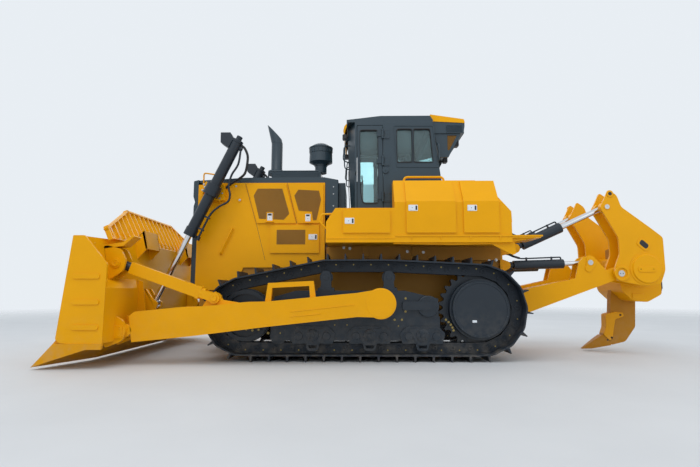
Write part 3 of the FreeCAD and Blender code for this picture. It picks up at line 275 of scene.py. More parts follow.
class Form:
    """A mesh that gathers simple closed forms, on the left or mirrored, and becomes one piece."""

    def __init__(self, *sides):
        self.mesh = bmesh.new()
        self.sides = sides or (1,)

    def skin(self, points, ends=True, once=False):
        """Quads between rings of as many points each, closed by a face at both ends."""
        for side in (1,) if once else self.sides:
            rings = [[self.mesh.verts.new((x, side * y, z)) for x, y, z in ring] for ring in points]
            for near, far in zip(rings, rings[1:]):
                for i in range(len(near)):
                    j = (i + 1) % len(near)
                    self.mesh.faces.new((near[i], near[j], far[j], far[i]))
            if ends:
                self.mesh.faces.new(rings[0])
                self.mesh.faces.new(rings[-1])

    def plate(self, outline, y0, y1):
        """Outline of X and Z between two levels of Y; one that crosses the middle is made once."""
        self.skin([[(x, y, z) for x, z in outline] for y in (y0, y1)], once=y0 < 0)

    def turned(self, at, profile, sides=20, axis=Y_AXIS, once=False):
        """Turned form: profile of distance along the axis and radius."""
        at = Vector(at)
        axis = Vector(axis).normalized()
        first, second = two_across(axis)
        rings = []
        for rise, radius in profile:
            ring = []
            for i in range(sides):
                angle = 2 * math.pi * i / sides
                ring.append(at + axis * rise + (first * math.cos(angle)
                                                + second * math.sin(angle)) * max(radius, 1e-4))
            rings.append(ring)
        self.skin(rings, once=once)

    def bolt(self, at, across, axis=Y_AXIS):
        """Hexagon head on a round washer."""
        self.turned(at, [(-0.004, across * 0.95), (across * 0.12, across * 0.95)], 16, axis)
        self.turned(at, [(0, across * 0.58), (across * 0.62, across * 0.58), (across * 0.7, across * 0.48)],
                    6, axis)

    def tube(self, route, radius, sides=10):
        """Round bar along a route."""
        route = [Vector(point) for point in route]
        first, second = two_across(route[1] - route[0])
        rings = []
        for i, point in enumerate(route):
            before = route[max(i - 1, 0)]
            after = route[min(i + 1, len(route) - 1)]
            way = (after - before).normalized()
            first = (first - way * first.dot(way)).normalized()
            second = way.cross(first)
            rings.append([point + (first * math.cos(2 * math.pi * k / sides)
                                   + second * math.sin(2 * math.pi * k / sides)) * radius
                          for k in range(sides)])
        self.skin(rings)

    def ribbon(self, outline, place, width, rise):
        """Closed strip of square section along an outline: place(u, v, w) gives a point."""
        count = len(outline)
        middle = Vector((sum(p[0] for p in outline) / count, sum(p[1] for p in outline) / count))
        rings = []
        for u, v in list(outline) + [outline[0]]:
            out = (Vector((u, v)) - middle).normalized() * width
            rings.append([place(u, v, 0), place(u + out.x, v + out.y, 0), place(u + out.x, v + out.y, rise),
                          place(u, v, rise)])
        self.skin(rings, ends=False)

    def piece(self, name, body, finish, slot, bevel=0.0):
        """The finished object, riding on its body, or free for a piece that crosses a joint."""
        bmesh.ops.recalc_face_normals(self.mesh, faces=self.mesh.faces)
        for face in self.mesh.faces:
            face.smooth = True
        for edge in self.mesh.edges:
            if len(edge.link_faces) == 2 and edge.calc_face_angle(0.0) > math.radians(32):
                edge.smooth = False
        mesh = bpy.data.meshes.new(name)
        self.mesh.to_mesh(mesh)
        self.mesh.free()
        mesh.materials.append(MATERIALS[finish])
        made = bpy.data.objects.new(name, mesh)
        bpy.context.scene.collection.objects.link(made)
        if bevel:
            soften = made.modifiers.new("soften", "BEVEL")
            soften.width = bevel
            soften.segments = 2
            soften.limit_method = "ANGLE"
        if body:
            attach(made, body)
        return made


SIDES = (("left", 1), ("right", -1))
BOTH = (1, -1)

# Places that several forms share, in X and Z
PIVOT = (0.074, 0.837)
BAR_CAP = (-0.638, 0.787)
HOOD_BOSS = (2.332, 2.501)
BRACE_FOOT = (2.393, 0.908)
BRACE_HEAD = (3.782, 1.402)
ARM_EYE = (-3.362, 1.467)
TILT_EYE = (-3.662, 2.37)
BEAM_PIN = (-3.82, 1.289)
BEAM_BOSS = (-4.222, 1.361)
BEAM_HOLE = (-3.722, 2.585)
BEAM_FACE = 0.714


def spot(place, y):
    """Point at a place of X and Z and a distance from the middle."""
    return Vector((place[0], y, place[1]))


def at_level(outline, y):
    return [spot(place, y) for place in outline]


def rect(x0, x1, z0, z1):
    return [(x0, z0), (x1, z0), (x1, z1), (x0, z1)]


def arc(x, z, radius, first, last, steps):
    """Points of an arc about a centre, from the first angle to the last, in degrees."""
    angles = [math.radians(first + (last - first) * i / steps) for i in range(steps + 1)]
    return [(x + radius * math.cos(angle), z + radius * math.sin(angle)) for angle in angles]


def rounded_box(x0, x1, z0, z1, radius, steps=4):
    """Outline of X and Z with round corners."""
    points = []
    for x, z, start in ((x1 - radius, z1 - radius, 0), (x0 + radius, z1 - radius, 90),
                        (x0 + radius, z0 + radius, 180), (x1 - radius, z0 + radius, 270)):
        points += arc(x, z, radius, start, start + 90, steps)
    return points


def rounded_corners(corners, radius, steps=4):
    """Outline with each corner replaced by a short curve."""
    points = []
    count = len(corners)
    for i, corner in enumerate(corners):
        corner = Vector(corner)
        before = (Vector(corners[i - 1]) - corner).normalized() * radius
        after = (Vector(corners[(i + 1) % count]) - corner).normalized() * radius
        for k in range(steps + 1):
            t = k / steps
            points.append(tuple(corner + before * (1 - t) ** 2 + after * t ** 2))
    return points


# Track chains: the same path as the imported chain's, in metres

LINK_PITCH = 0.26
CHAIN_Z = 0.18
CHAIN_R = LINK_PITCH / (2 * math.sin(2 * math.pi / 27))
SPROCKET_AT = (-1.396, CHAIN_Z + CHAIN_R)
CARRIERS = (0.858, -0.069)
CARRIER_Z = 1.212
COVER_FACE = 1.3795
CHAIN_WHEELS = (
    (2.065, CHAIN_Z + 0.47, 0.47),
    (CARRIERS[0], CARRIER_Z, 0.16),
    (CARRIERS[1], CARRIER_Z, 0.16),
    (*SPROCKET_AT, CHAIN_R),
)
TRACK_Y = 1.13
RAIL_FACE = 0.112
SHOE_FACE = 0.097
PIN_BOSS = [(0, 0.04), (0.01, 0.04), (0.014, 0.036), (0.014, 0.016), (0.004, 0.014), (0.004, 0)]


def wheel_normal(a, b):
    """Normal of the outer tangent from wheel a to wheel b."""
    run = Vector((b[0] - a[0], b[1] - a[1]))
    cosine = (a[2] - b[2]) / run.length
    sine = math.sqrt(1 - cosine * cosine)
    run.normalize()
    return Vector((run.x * cosine + run.y * sine, run.y * cosine - run.x * sine))


def chain_pins():
    """Pin places round the loop, in X and Z."""
    count = len(CHAIN_WHEELS)
    normals = [wheel_normal(CHAIN_WHEELS[i], CHAIN_WHEELS[(i + 1) % count]) for i in range(count)]
    runs = []
    for i, normal in enumerate(normals):
        a = CHAIN_WHEELS[i]
        b = CHAIN_WHEELS[(i + 1) % count]
        start = Vector(a[:2]) + normal * a[2]
        end = Vector(b[:2]) + normal * b[2]
        runs.append((start, end, None, 0.0, (end - start).length))
        angle = math.atan2(normal.y, normal.x)
        after = normals[(i + 1) % count]
        turn = (math.atan2(after.y, after.x) - angle) % (2 * math.pi)
        runs.append((None, None, b, angle, turn * b[2]))
    total = sum(run[4] for run in runs)
    links = round(total / LINK_PITCH)
    pins = []
    for i in range(links):
        distance = total * i / links
        for start, end, wheel, angle, length in runs:
            if distance <= length:
                break
            distance -= length
        if wheel is None:
            pins.append(start.lerp(end, distance / length))
        else:
            turned = angle + distance / wheel[2]
            pins.append(Vector(wheel[:2]) + wheel[2] * Vector((math.cos(turned), math.sin(turned))))
    return pins


def link_outline(length):
    """Side of one link, round at its own pin and hollow before the next: along and outward."""
    return (arc(0, 0, 0.058, 130, 230, 6) + [(0.035, -0.052), (length - 0.085, -0.052)]
            + arc(length, 0, 0.066, 222, 138, 4) + [(length - 0.07, 0.074), (-0.01, 0.074)])


def track_chain(side_name, side):
    """Link sides with pin bosses, their sunk holes as dark discs of painted shade, nuts and the bolts of the shoes."""
    pins = chain_pins()
    links = Form(side)
    holes = Form(side)
    nuts = Form(side)
    for i, pin in enumerate(pins):
        run = pins[(i + 1) % len(pins)] - pin
        length = run.length
        along = run.normalized()
        outward = Vector((along.y, -along.x))

        def at(s, h, y):
            return spot(pin + along * s + outward * h, y)

        for face, way in ((TRACK_Y + RAIL_FACE, 1), (TRACK_Y - RAIL_FACE, -1)):
            axis = Y_AXIS * way
            links.skin([[at(s, h, face + way * rise) for s, h in link_outline(length)] for rise in (-0.001, 0.0035)])
            links.turned(at(0, 0, face), PIN_BOSS, 18, axis)
            middle = at(length * 0.42, 0.012, face)
            # Dark disc of painted shade in the sunk hole.
            holes.turned(middle, [(0.002, 0.027), (0.0042, 0.027), (0.0042, 0)], 14, axis)
            links.turned(middle, [(0, 0.034), (0.006, 0.034), (0.006, 0.027)], 18, axis)
            nuts.turned(at(length * 0.63, 0.03, face), [(0, 0.011), (0.01, 0.011), (0.01, 0)], 6, axis)
        for s in (length * 0.42, length * 0.7):
            for y in (-0.086, 0.086):
                links.bolt(at(s, SHOE_FACE, TRACK_Y + y), 0.019, spot(outward, 0))
    links.piece("track_links_" + side_name, "root", "track_steel", "track_steel", 0.002)
    holes.piece("track_link_holes_" + side_name, "root", "gap_shade", "track_steel")
    nuts.piece("track_nuts_" + side_name, "root", "brass_bolt", "rod")


# Undercarriage and frame: places of bolts in X and Z

BOGIES = (1.047, 0.218, -0.546)
BOGIE_Z = 0.372
FRAME_FACE = 1.33
BRASS_SPOTS = [(0.726, 0.518), (0.547, 0.519), (-0.147, 0.594), (-0.253, 0.594), (-0.201, 0.505),
               (-0.311, 0.901), (-0.308, 0.713), (-0.893, 0.594), (-0.931, 0.56), (-0.962, 0.522),
               (-0.984, 0.482), (-0.999, 0.441)]
IDLER_SPOTS = [(2.105, 0.5), (2.02, 0.455), (1.93, 0.44), (1.84, 0.45), (1.7, 0.4), (1.52, 0.4)]
FRAME_SPOTS = [(0.614, 1.703), (0.515, 1.753), (0.515, 1.691), (-0.408, 1.64), (-0.665, 1.628),
               (-1.713, 1.491), (-1.823, 1.503)]


def undercarriage_bolts(side_name, side):
    brass = Form(side)
    dark = Form(side)
    steel = Form(side)
    for x in BOGIES:
        for dx, dz in rect(-0.045, 0.045, -0.045, 0.045):
            dark.bolt((x + dx, FRAME_FACE + 0.051, BOGIE_Z + dz), 0.02)
        for dx, dz in ((-0.255, 0.085), (0.255, 0.085), (-0.15, 0.1), (0.15, 0.1)):
            dark.bolt((x + dx, FRAME_FACE + 0.021, BOGIE_Z + dz), 0.018)
        dark.turned((x, FRAME_FACE + 0.051, BOGIE_Z), [(0, 0.034), (0.008, 0.03), (0.008, 0)], 20)
    for x, z in BRASS_SPOTS:
        brass.bolt((x, FRAME_FACE, z), 0.017)
    for x, z in IDLER_SPOTS:
        brass.bolt((x, FRAME_FACE, z), 0.019)
    for place in arc(*BAR_CAP, 0.125, 0, 324, 9):
        dark.bolt(spot(place, FRAME_FACE + 0.04), 0.014)
    for x in CARRIERS:
        for dx in (-0.1, 0.1):
            dark.bolt((x + dx, 1.28, 1.05), 0.02, axis=UP)
        steel.bolt((x, FRAME_FACE - 0.012, CARRIER_Z), 0.018)
    for x, z in FRAME_SPOTS:
        steel.bolt((x, 0.762, z), 0.024)
    brass.piece("frame_brass_bolts_" + side_name, "root", "brass_bolt", "rod")
    dark.piece("frame_cap_bolts_" + side_name, "root", "under", "dark")
    steel.piece("frame_bolts_" + side_name, "root", "zinc_bolt", "rod")


def sprocket_plate(side_name, side):
    """Blank plate with two rivets on the round cover."""
    tag = Form(side)
    tag.plate(rounded_box(-1.33, -1.266, 0.556, 0.59, 0.006), COVER_FACE, COVER_FACE + 0.0025)
    for x in (-1.322, -1.274):
        tag.turned((x, 1.382, 0.573), [(0, 0.004), (0.002, 0.003)], 10)
    tag.piece("cover_tag_" + side_name, "root", "latch", "rod")
    caps = Form(side)
    for i in range(12):
        angle = 2 * math.pi * (i + 0.5) / 12
        caps.bolt((SPROCKET_AT[0] + 0.392 * math.cos(angle), COVER_FACE + 0.007, SPROCKET_AT[1]
                   + 0.394 * math.sin(angle)), 0.011)
    caps.piece("cover_bolts_" + side_name, "root", "under", "dark")


# Doors: latches and screens

DOOR_FACE = 0.7263
BOX_FACE = 1.4263


def latch(name, body, x, z, face, upright, side):
    """Pale latch plate with a raised paddle, and its slot and key hole as dark sheets of painted shade."""
    half_x, half_z = (0.042, 0.062) if upright else (0.07, 0.045)

    pale = Form(side)
    pale.plate(rounded_box(x - half_x, x + half_x, z - half_z, z + half_z, 0.01), face, face + 0.005)
    if upright:
        paddle = rounded_box(x - half_x + 0.01, x + half_x - 0.01, z - half_z + 0.01, z + 0.016, 0.006)
        slot = rounded_box(x - half_x + 0.014, x + half_x - 0.014, z + 0.022, z + half_z - 0.01, 0.006)
    else:
        paddle = rounded_box(x - 0.03, x + half_x - 0.01, z - half_z + 0.01, z + half_z - 0.01, 0.006)
        slot = rounded_box(x - half_x + 0.01, x - 0.036, z - half_z + 0.012, z + half_z - 0.012, 0.006)
    pale.plate(paddle, face + 0.005, face + 0.009)
    pale.piece(name + "_latch", body, "latch", "rod", 0.0012)
    dark = Form(side)
    # Slot and key hole as dark sheets of painted shade.
    dark.plate(slot, face + 0.0045, face + 0.0062)
    middle = (sum(p[0] for p in paddle) / len(paddle), sum(p[1] for p in paddle) / len(paddle))
    dark.turned((middle[0], face + 0.0085, middle[1]), [(0, 0.006), (0.0015, 0.006)], 12)
    dark.piece(name + "_latch_slot_shade", body, "gap_shade", "dark")
    if upright:
        shelf = Form(side)
        outline = rounded_box(x - half_x - 0.018, x + half_x + 0.018, z - half_z - 0.02, z + half_z + 0.018, 0.008)
        shelf.plate(outline, face, face + 0.003)
        lip = ((0, 0), (0.034, 0), (0.034, 0.006), (0, 0.01))
        shelf.skin([[(x + dx, face + rise, z - half_z - 0.028 + dz) for rise, dz in lip]
                    for dx in (-half_x - 0.026, half_x + 0.026)])
        shelf.piece(name + "_latch_shelf", body, "yellow", "yellow", 0.0015)


SCREENS = {
    "engine_door_front": [(2.099, 2.569), (2.036, 2.687), (1.629, 2.686), (1.506, 2.266), (1.595, 2.167),
                          (1.999, 2.184)],
    "engine_door_rear": [(1.428, 2.567), (1.364, 2.668), (1.024, 2.65), (0.988, 2.499), (1.061, 2.158),
                         (1.119, 2.158), (1.137, 2.299), (1.351, 2.316)],
    "engine_door_low": rect(1.707, 1.24, 1.762, 2.002),
}
LATCHES = {
    "engine_door_front": (1.825, 2.215, True),
    "engine_door_rear": (1.201, 2.2, True),
    "engine_door_low": (1.116, 1.883, False),
}
BOX_LATCHES = {
    "box_door_front": (0.51, 2.039),
    "box_door_middle": (-0.432, 2.232),
    "box_door_rear": (-1.304, 2.229),
}
WIRE_PITCH = 0.0125


def crossings(outline, x):
    """Levels at which an upright line at X crosses an outline."""
    found = []
    for (ax, az), (bx, bz) in zip(outline, outline[1:] + outline[:1]):
        if (ax - x) * (bx - x) < 0:
            found.append(az + (bz - az) * (x - ax) / (bx - ax))
    return sorted(found)


def screen(name, body, outline, side):
    """Shaded sheet in the pocket with upright wires in front of it."""
    sheet = Form(side)
    sheet.plate(outline, DOOR_FACE - 0.001, DOOR_FACE + 0.0008)
    sheet.piece(name + "_screen_back", body, "screen", "yellow")
    # Wires in the darker frame yellow, which is painted shade.
    wires = Form(side)
    low = min(x for x, z in outline)
    high = max(x for x, z in outline)
    for i in range(1, int((high - low) / WIRE_PITCH)):
        x = low + i * WIRE_PITCH + 0.0003
        levels = crossings(outline, x)
        for z0, z1 in zip(levels[::2], levels[1::2]):
            wires.plate(rect(x - 0.0018, x + 0.0018, z0, z1), DOOR_FACE + 0.0005,
                        DOOR_FACE + 0.0055)
    wires.piece(name + "_screen_wires", body, "frame_brown", "yellow")


def doors():
    for side_name, side in SIDES:
        for door, outline in SCREENS.items():
            body = door + "_" + side_name
            screen(body, body, outline, side)
            x, z, upright = LATCHES[door]
            latch(body, body, x, z, DOOR_FACE, upright, side)
    for door, (x, z) in BOX_LATCHES.items():
        latch(door, door, x, z, BOX_FACE, False, 1)


# Cab: seals, handles, hinge bolts, rails, wiper, lamps and the unit's louvres

CAB_FACE = 0.93
PANES = {
    "front_pane": rect(-0.25, -0.49, 3.07, 3.615),
    "rear_pane": [(-0.52, 3.07), (-0.52, 3.615), (-0.781, 3.615), (-0.826, 3.07)],
}
DOOR_PANE = [(0.35, 3.6), (0.06, 3.6), (0.06, 2.4), (0.3, 2.4), (0.34, 2.56)]
HINGES = (2.499, 3.089, 3.539)


def side_place(face):
    return lambda x, z, rise: Vector((x, face + rise, z))


def cab_side(side_name, side):
    body = "cab_door_" + side_name
    seals = Form(side)
    for corners in PANES.values():
        outline = rounded_corners(corners, 0.03)
        seals.ribbon(outline, side_place(CAB_FACE - 0.012), 0.014, 0.022)
        inner = side_place(CAB_FACE - 0.019)
        seals.ribbon(outline, inner, -0.01, 0.014)
    seals.piece("window_seals_" + side_name, "root", "rubber", "interior", 0.003)
    door_seal = Form(side)
    outline = rounded_corners(DOOR_PANE, 0.042)
    door_seal.ribbon(outline, side_place(CAB_FACE - 0.019), 0.012, 0.03)
    door_seal.ribbon(outline, side_place(CAB_FACE - 0.019), -0.012, 0.014)
    door_seal.piece("door_seal_" + side_name, body, "rubber", "interior", 0.003)
    leaf_bolts = Form(side)
    door_bolts = Form(side)
    for z in HINGES:
        for dz in (-0.056, 0.0, 0.056):
            for x in (-0.108, -0.07):
                leaf_bolts.bolt((x, 0.944, z + dz), 0.011)
        for dz in (-0.024, 0.024):
            door_bolts.bolt((0.048, 0.944, z + dz), 0.011)
    leaf_bolts.turned((-0.06, 0.93, 2.93), [(0, 0.052), (0.02, 0.05), (0.024, 0.044), (0.024, 0)], 24)
    leaf_bolts.bolt((-0.06, 0.954, 2.93), 0.014)
    leaf_bolts.piece("hinge_bolts_" + side_name, "root", "dark", "dark")
    door_bolts.plate(rounded_box(0.408, 0.432, 2.86, 3.1, 0.01), 0.936, 0.94)
    door_bolts.tube(rounded_route([(0.42, 0.938, 3.085), (0.42, 0.985, 3.07), (0.42, 0.988, 2.98),
                                   (0.42, 0.985, 2.89), (0.42, 0.938, 2.875)]), 0.011)
    door_bolts.piece("door_fittings_" + side_name, body, "dark", "dark")
    rails = Form(side)
    for shift, top, low in ((0.0, 3.54, 3.02), (0.045, 3.44, 3.14)):
        rails.tube(rounded_route([(0.5, 0.64, top), (0.585 + shift * 0.4, 0.68, top - 0.04),
                                  (0.6 + shift * 0.4, 0.69, (top + low) / 2),
                                  (0.6 + shift * 0.4, 0.68, low + 0.04), (0.53, 0.64, low)]), 0.01)
    rails.piece("corner_rails_" + side_name, "root", "dark", "dark")


def windscreen_x(z):
    """X of the cab's front at a level."""
    return min(0.545, 0.49 + 0.055 * (z - 2.24) / 1.16)


def cab_front():
    seal = Form()
    outline = []
    for y, z in ((-0.54, 2.52), (0.54, 2.52), (0.54, 3.4), (0.54, 3.62), (-0.54, 3.62), (-0.54, 3.4)):
        outline.append((y, z))
    seal.ribbon(outline, lambda y, z, rise: Vector((windscreen_x(z) - 0.008 + rise, y, z)), 0.016, 0.016)
    seal.piece("windscreen_seal", "root", "rubber", "interior", 0.003)
    wiper = Form()
    foot = Vector((windscreen_x(2.44) + 0.01, 0.12, 2.44))
    tip = Vector((windscreen_x(3.2) + 0.016, -0.14, 3.2))
    wiper.turned(foot, [(-0.02, 0.03), (0.02, 0.03), (0.024, 0.024), (0.024, 0)], 16, axis=(1, 0, 0))
    wiper.tube([foot + Vector((0.016, 0, 0)), foot.lerp(tip, 0.5) + Vector((0.016, 0, 0)), tip], 0.006)
    for k in range(2):
        low = Vector((windscreen_x(2.92) + 0.008, -0.28 + k * 0.004, 2.92))
        high = Vector((windscreen_x(3.48) + 0.008, -0.06 + k * 0.004, 3.48))
        wiper.tube([low, high], 0.007)
    wiper.piece("wiper", "root", "rubber", "interior")


def lamp_lenses():
    """Ribbed lenses on the roof lamps and on the lamp boxes of the lift barrels."""
    roof = Form(*BOTH)
    for x, way, y0, y1, z0, z1 in ((0.64, 1, 0.53, 0.63, 3.57, 3.63), (-1.33, -1, 0.45, 0.55, 3.46, 3.54)):
        for i in range(5):
            a = y0 + (y1 - y0) * i / 5
            b = y0 + (y1 - y0) * (i + 0.85) / 5
            roof.skin([[(x + way * rise, y, z) for y, z in rect(a, b, z0, z1)]
                       for rise in (-0.002, 0.005)])
    roof.piece("roof_lamp_lenses", "root", "lens", "glass", 0.0015)
    barrel = Form(*BOTH)
    for i in range(6):
        a = 0.87 + 0.12 * i / 6
        b = a + 0.017
        barrel.skin([[(2.598 + rise, y, z) for y, z in rect(a, b, 3.42, 3.535)]
                     for rise in (-0.002, 0.005)])
    barrel.piece("barrel_lamp_lenses", "lift_barrels", "lens", "glass", 0.0015)


UNIT_REAR = -1.366


def slat(depth):
    """Section of a louvre: outward and up."""
    return (0, 0), (depth, -0.003), (depth, 0.001), (0, 0.006)


def unit_louvres():
    """Slats on the ends and rear of the unit behind the cab, and the screens in its guards."""
    slats = Form(*BOTH)
    for i in range(9):
        z = 3.592 + i * 0.014
        slats.skin([[(x, 0.859 + out, z + dz) for out, dz in slat(0.007)] for x in (-1.32, -1.06)])
    for i in range(8):
        z = 3.6 + i * 0.014
        slats.plate([(UNIT_REAR - out, z + dz) for out, dz in slat(0.006)], -0.78, 0.78)
    slats.piece("unit_louvres", "root", "dark", "dark")
    # The guard screen, sheet and bars, takes the screen shadow paint: painted shade behind the guard.
    mesh = Form(*BOTH)
    outline = [(-1.08, 3.54), (-1.24, 3.54), (-1.11, 3.29), (-1.08, 3.29)]
    mesh.plate(outline, 0.822, 0.826)
    for i in range(1, 13):
        x = -1.24 + 0.16 * i / 13
        levels = crossings(outline, x)
        for z0, z1 in zip(levels[::2], levels[1::2]):
            mesh.plate(rect(x - 0.002, x + 0.002, z0, z1), 0.822, 0.834)
    mesh.piece("guard_screens", "root", "screen", "dark")


# Cab inside: seat, levers and display

def swollen(form, name, thick):
    """Cloth pressure on a remeshed pad, applied, with every point's way limited."""
    made = form.piece(name, "root", "seat", "seat")
    remesh = made.modifiers.new("remesh", "REMESH")
    remesh.mode = "VOXEL"
    remesh.voxel_size = 0.01
    graph = bpy.context.evaluated_depsgraph_get()
    mesh = bpy.data.meshes.new_from_object(made.evaluated_get(graph))
    made.modifiers.clear()
    made.data = mesh
    before = [vertex.co.copy() for vertex in mesh.vertices]
    cloth = made.modifiers.new("cloth", "CLOTH")
    cloth.settings.use_pressure = True
    cloth.settings.uniform_pressure_force = 4.0
    cloth.settings.effector_weights.gravity = 0.0
    scene = bpy.context.scene
    for frame_number in range(1, 21):
        scene.frame_set(frame_number)
    graph = bpy.context.evaluated_depsgraph_get()
    puffed = bpy.data.meshes.new_from_object(made.evaluated_get(graph))
    made.modifiers.clear()
    made.data = puffed
    for vertex, start in zip(puffed.vertices, before):
        way = vertex.co - start
        if way.length > thick:
            vertex.co = start + way * (thick / way.length)
    scene.frame_set(1)
    for polygon in made.data.polygons:
        polygon.use_smooth = True
    if not made.data.materials:
        made.data.materials.append(MATERIALS["seat"])
    return made


def crowned(form, x0, x1, half_y, z0, z1):
    """Pad with round corners and a crowned top, as rings from below upwards."""
    rings = []
    for share, grow in ((0.0, -0.03), (0.12, -0.008), (0.4, 0.0), (0.75, -0.004), (0.92, -0.022), (1.0, -0.05)):
        outline = rounded_box(x0 - grow, x1 + grow, -half_y - grow, half_y + grow, 0.06)
        rings.append([(x, y, z0 + (z1 - z0) * share) for x, y in outline])
    form.skin(rings)


def seat():
    base = Form()
    for i in range(6):
        z = 2.42 + i * 0.045
        grow = 0.012 if i % 2 else 0.0
        outline = rounded_box(-0.5 - grow, -0.02 + grow, -0.225 - grow, 0.225 + grow, 0.04)
        base.skin([[(x, y, level) for x, y in outline] for level in (z, z + 0.044)])
    outline = rounded_box(-0.52, 0.0, -0.24, 0.24, 0.03)
    base.skin([[(x, y, level) for x, y in outline] for level in (2.295, 2.42)])
    base.plate(rounded_corners([(-0.575, 2.8), (-0.545, 2.8), (-0.545, 3.43), (-0.572, 3.44)], 0.012), -0.2, 0.2)
    base = base.piece("seat_base", "root", "interior", "interior", 0.004)
    cushion = Form()
    crowned(cushion, -0.52, 0.005, 0.245, 2.705, 2.815)
    cushion = swollen(cushion, "seat_cushion", 0.012)
    back = Form()
    rings = []
    for share, thick, half in ((0.0, 0.1, 0.215), (0.1, 0.14, 0.24), (0.45, 0.135, 0.24), (0.8, 0.11, 0.215),
                               (0.95, 0.09, 0.18), (1.0, 0.06, 0.15)):
        z = 2.84 + 0.6 * share
        x = -0.53 - 0.02 * share
        rings.append([(px, py, z) for px, py in rounded_box(x, x + thick, -half, half, 0.028)])
    back.skin(rings)
    back = swollen(back, "seat_back", 0.01)
    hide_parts("seat")
    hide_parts("seat")
    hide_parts("seat")


def controls():
    """Levers with knobs on the arm consoles and a display on the front panel."""
    levers = Form(*BOTH)
    levers.turned((-0.02, 0.39, 2.95), [(0, 0.045), (0.03, 0.03), (0.06, 0.012), (0.14, 0.01), (0.15, 0.024),
                                        (0.21, 0.026), (0.235, 0.016), (0.24, 0)], 16, UP)
    levers.plate(rounded_box(-0.43, -0.11, 2.95, 2.99, 0.015), 0.33, 0.45)
    levers.plate([(0.3, 2.895), (0.32, 3.06), (0.3, 3.062), (0.28, 2.895)], -0.11, 0.11)
    levers.piece("cab_controls", "root", "interior", "interior", 0.004)


# Lift cylinders: pipe and clips on the barrel, hoses to the hood

LIFT_PIN = Vector((2.719, 0.93, 2.618))
LIFT_WAY = Vector((0.4275, 0.0, -0.904))
LIFT_REAR = Vector((-0.904, 0.0, -0.4275))


def lift_spot(t, n, dy=0.0, side=1):
    at = LIFT_PIN + LIFT_WAY * t + LIFT_REAR * n
    return Vector((at.x, side * (at.y + dy), at.z))


def lift_plumbing(side_name, side):
    pipe = Form(side)
    route = [lift_spot(*place) for place in ((-0.8, 0.105), (-0.56, 0.18), (-0.35, 0.165), (-0.16, 0.21),
                                             (-0.06, 0.285), (0.06, 0.31), (0.2, 0.215), (0.38, 0.15),
                                             (0.705, 0.15), (0.765, 0.14), (0.79, 0.09))]
    pipe.tube(rounded_route(route, 5), 0.017, 12)
    for t in (0.43, 0.64):
        pipe.skin([[lift_spot(t + a, n, dy) for n, dy in rect(0.08, 0.175, -0.022, 0.022)]
                   for a in (-0.014, 0.014)])
    pipe.turned(lift_spot(0.79, 0.15), [(-0.032, 0.034), (0.032, 0.034)], 16, axis=LIFT_WAY)
    pipe.turned(lift_spot(-0.8, 0.08), [(-0.01, 0.036), (0.045, 0.036), (0.05, 0.024)], 6, axis=LIFT_REAR)
    pipe.piece("lift_pipe_" + side_name, "lift_barrels", "under", "dark", 0.003)
    hose = Form()
    spots = [lift_spot(-0.86, 0.075, 0.0, side), lift_spot(-0.835, 0.16, 0.0, side),
             lift_spot(-0.745, 0.255, -0.01, side), lift_spot(-0.6, 0.31, -0.03, side),
             lift_spot(-0.475, 0.327, -0.06, side), Vector((2.3, side * 0.83, 2.845)),
             Vector((2.395, side * 0.78, 2.8)), Vector((2.48, side * 0.745, 2.76)),
             Vector((2.56, side * 0.725, 2.7))]
    hose.tube(rounded_route(spots, 6), 0.02, 12)
    hose = hose.piece("lift_hose_" + side_name, None, "rubber", "dark")
    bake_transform(hose)
    bolts = Form(side)
    for x, z in ((2.905, 2.745), (2.89, 2.7), (2.925, 2.65), (2.64, 2.64), (2.6, 2.595), (2.64, 2.51),
                 (2.69, 2.56)):
        bolts.bolt((x, 0.801, z), 0.017)
    bolts.bolt(spot(HOOD_BOSS, 0.714), 0.02)
    bolts.bolt((2.4, 0.702, 2.735), 0.018)
    for z in (2.72, 2.6, 2.4):
        bolts.bolt((0.786, 0.696, z), 0.011)
    bolts.piece("yoke_bolts_" + side_name, "root", "zinc_bolt", "rod")


# Blade: pad bolts, pin caps and the bolts of the cutting edge

WING_START = 1.25
WING_END = 2.11
EDGE_TOP = (0.017, 0.392)
EDGE_TIP = (0.308, 0.031)
EDGE_BOLT_PITCH = 0.215


def edge_front(y):
    """X of the blade's lower front at a distance from the middle."""
    return 4.01 + 0.28 * max(0.0, abs(y) - WING_START) / (WING_END - WING_START)


def blade_fittings():
    bolts = Form(*BOTH)
    yellow = Form(*BOTH)
    for x, z in rect(3.626, 3.726, 0.403, 0.513):
        yellow.bolt((x, 1.856, z), 0.017)
    yellow.turned(spot(BRACE_HEAD, 1.776), [(0, 0.052), (0.012, 0.05), (0.012, 0.034), (0.008, 0.032),
                                            (0.008, 0)], 28)
    bolts.turned(spot(BRACE_HEAD, 1.784), [(0, 0.01), (0.003, 0.009), (0.003, 0)], 12)
    yellow.turned(spot(BRACE_FOOT, 1.738), [(0, 0.042), (0.01, 0.04), (0.01, 0.026), (0.006, 0.024),
                                            (0.006, 0)], 28)
    bolts.bolt((3.87, 2.156, 1.64), 0.014)
    slope = Vector((EDGE_TIP[0] - EDGE_TOP[0], 0, EDGE_TIP[1] - EDGE_TOP[1]))
    normal = Vector((-slope.z, 0, slope.x)).normalized()
    for i in range(10):
        y = i * EDGE_BOLT_PITCH
        for share in (0.28, 0.62):
            at = Vector((edge_front(y) + EDGE_TOP[0], y, EDGE_TOP[1])) + slope * share
            bolts.turned(at, [(-0.01, 0.02), (0.002, 0.018), (0.002, 0.011), (-0.002, 0.01)], 16, axis=normal,
                         once=i == 0)
    yellow.piece("blade_caps", "blade_lift", "yellow", "yellow", 0.001)
    bolts.piece("blade_bolts", "blade_lift", "edge_steel", "edge_steel")
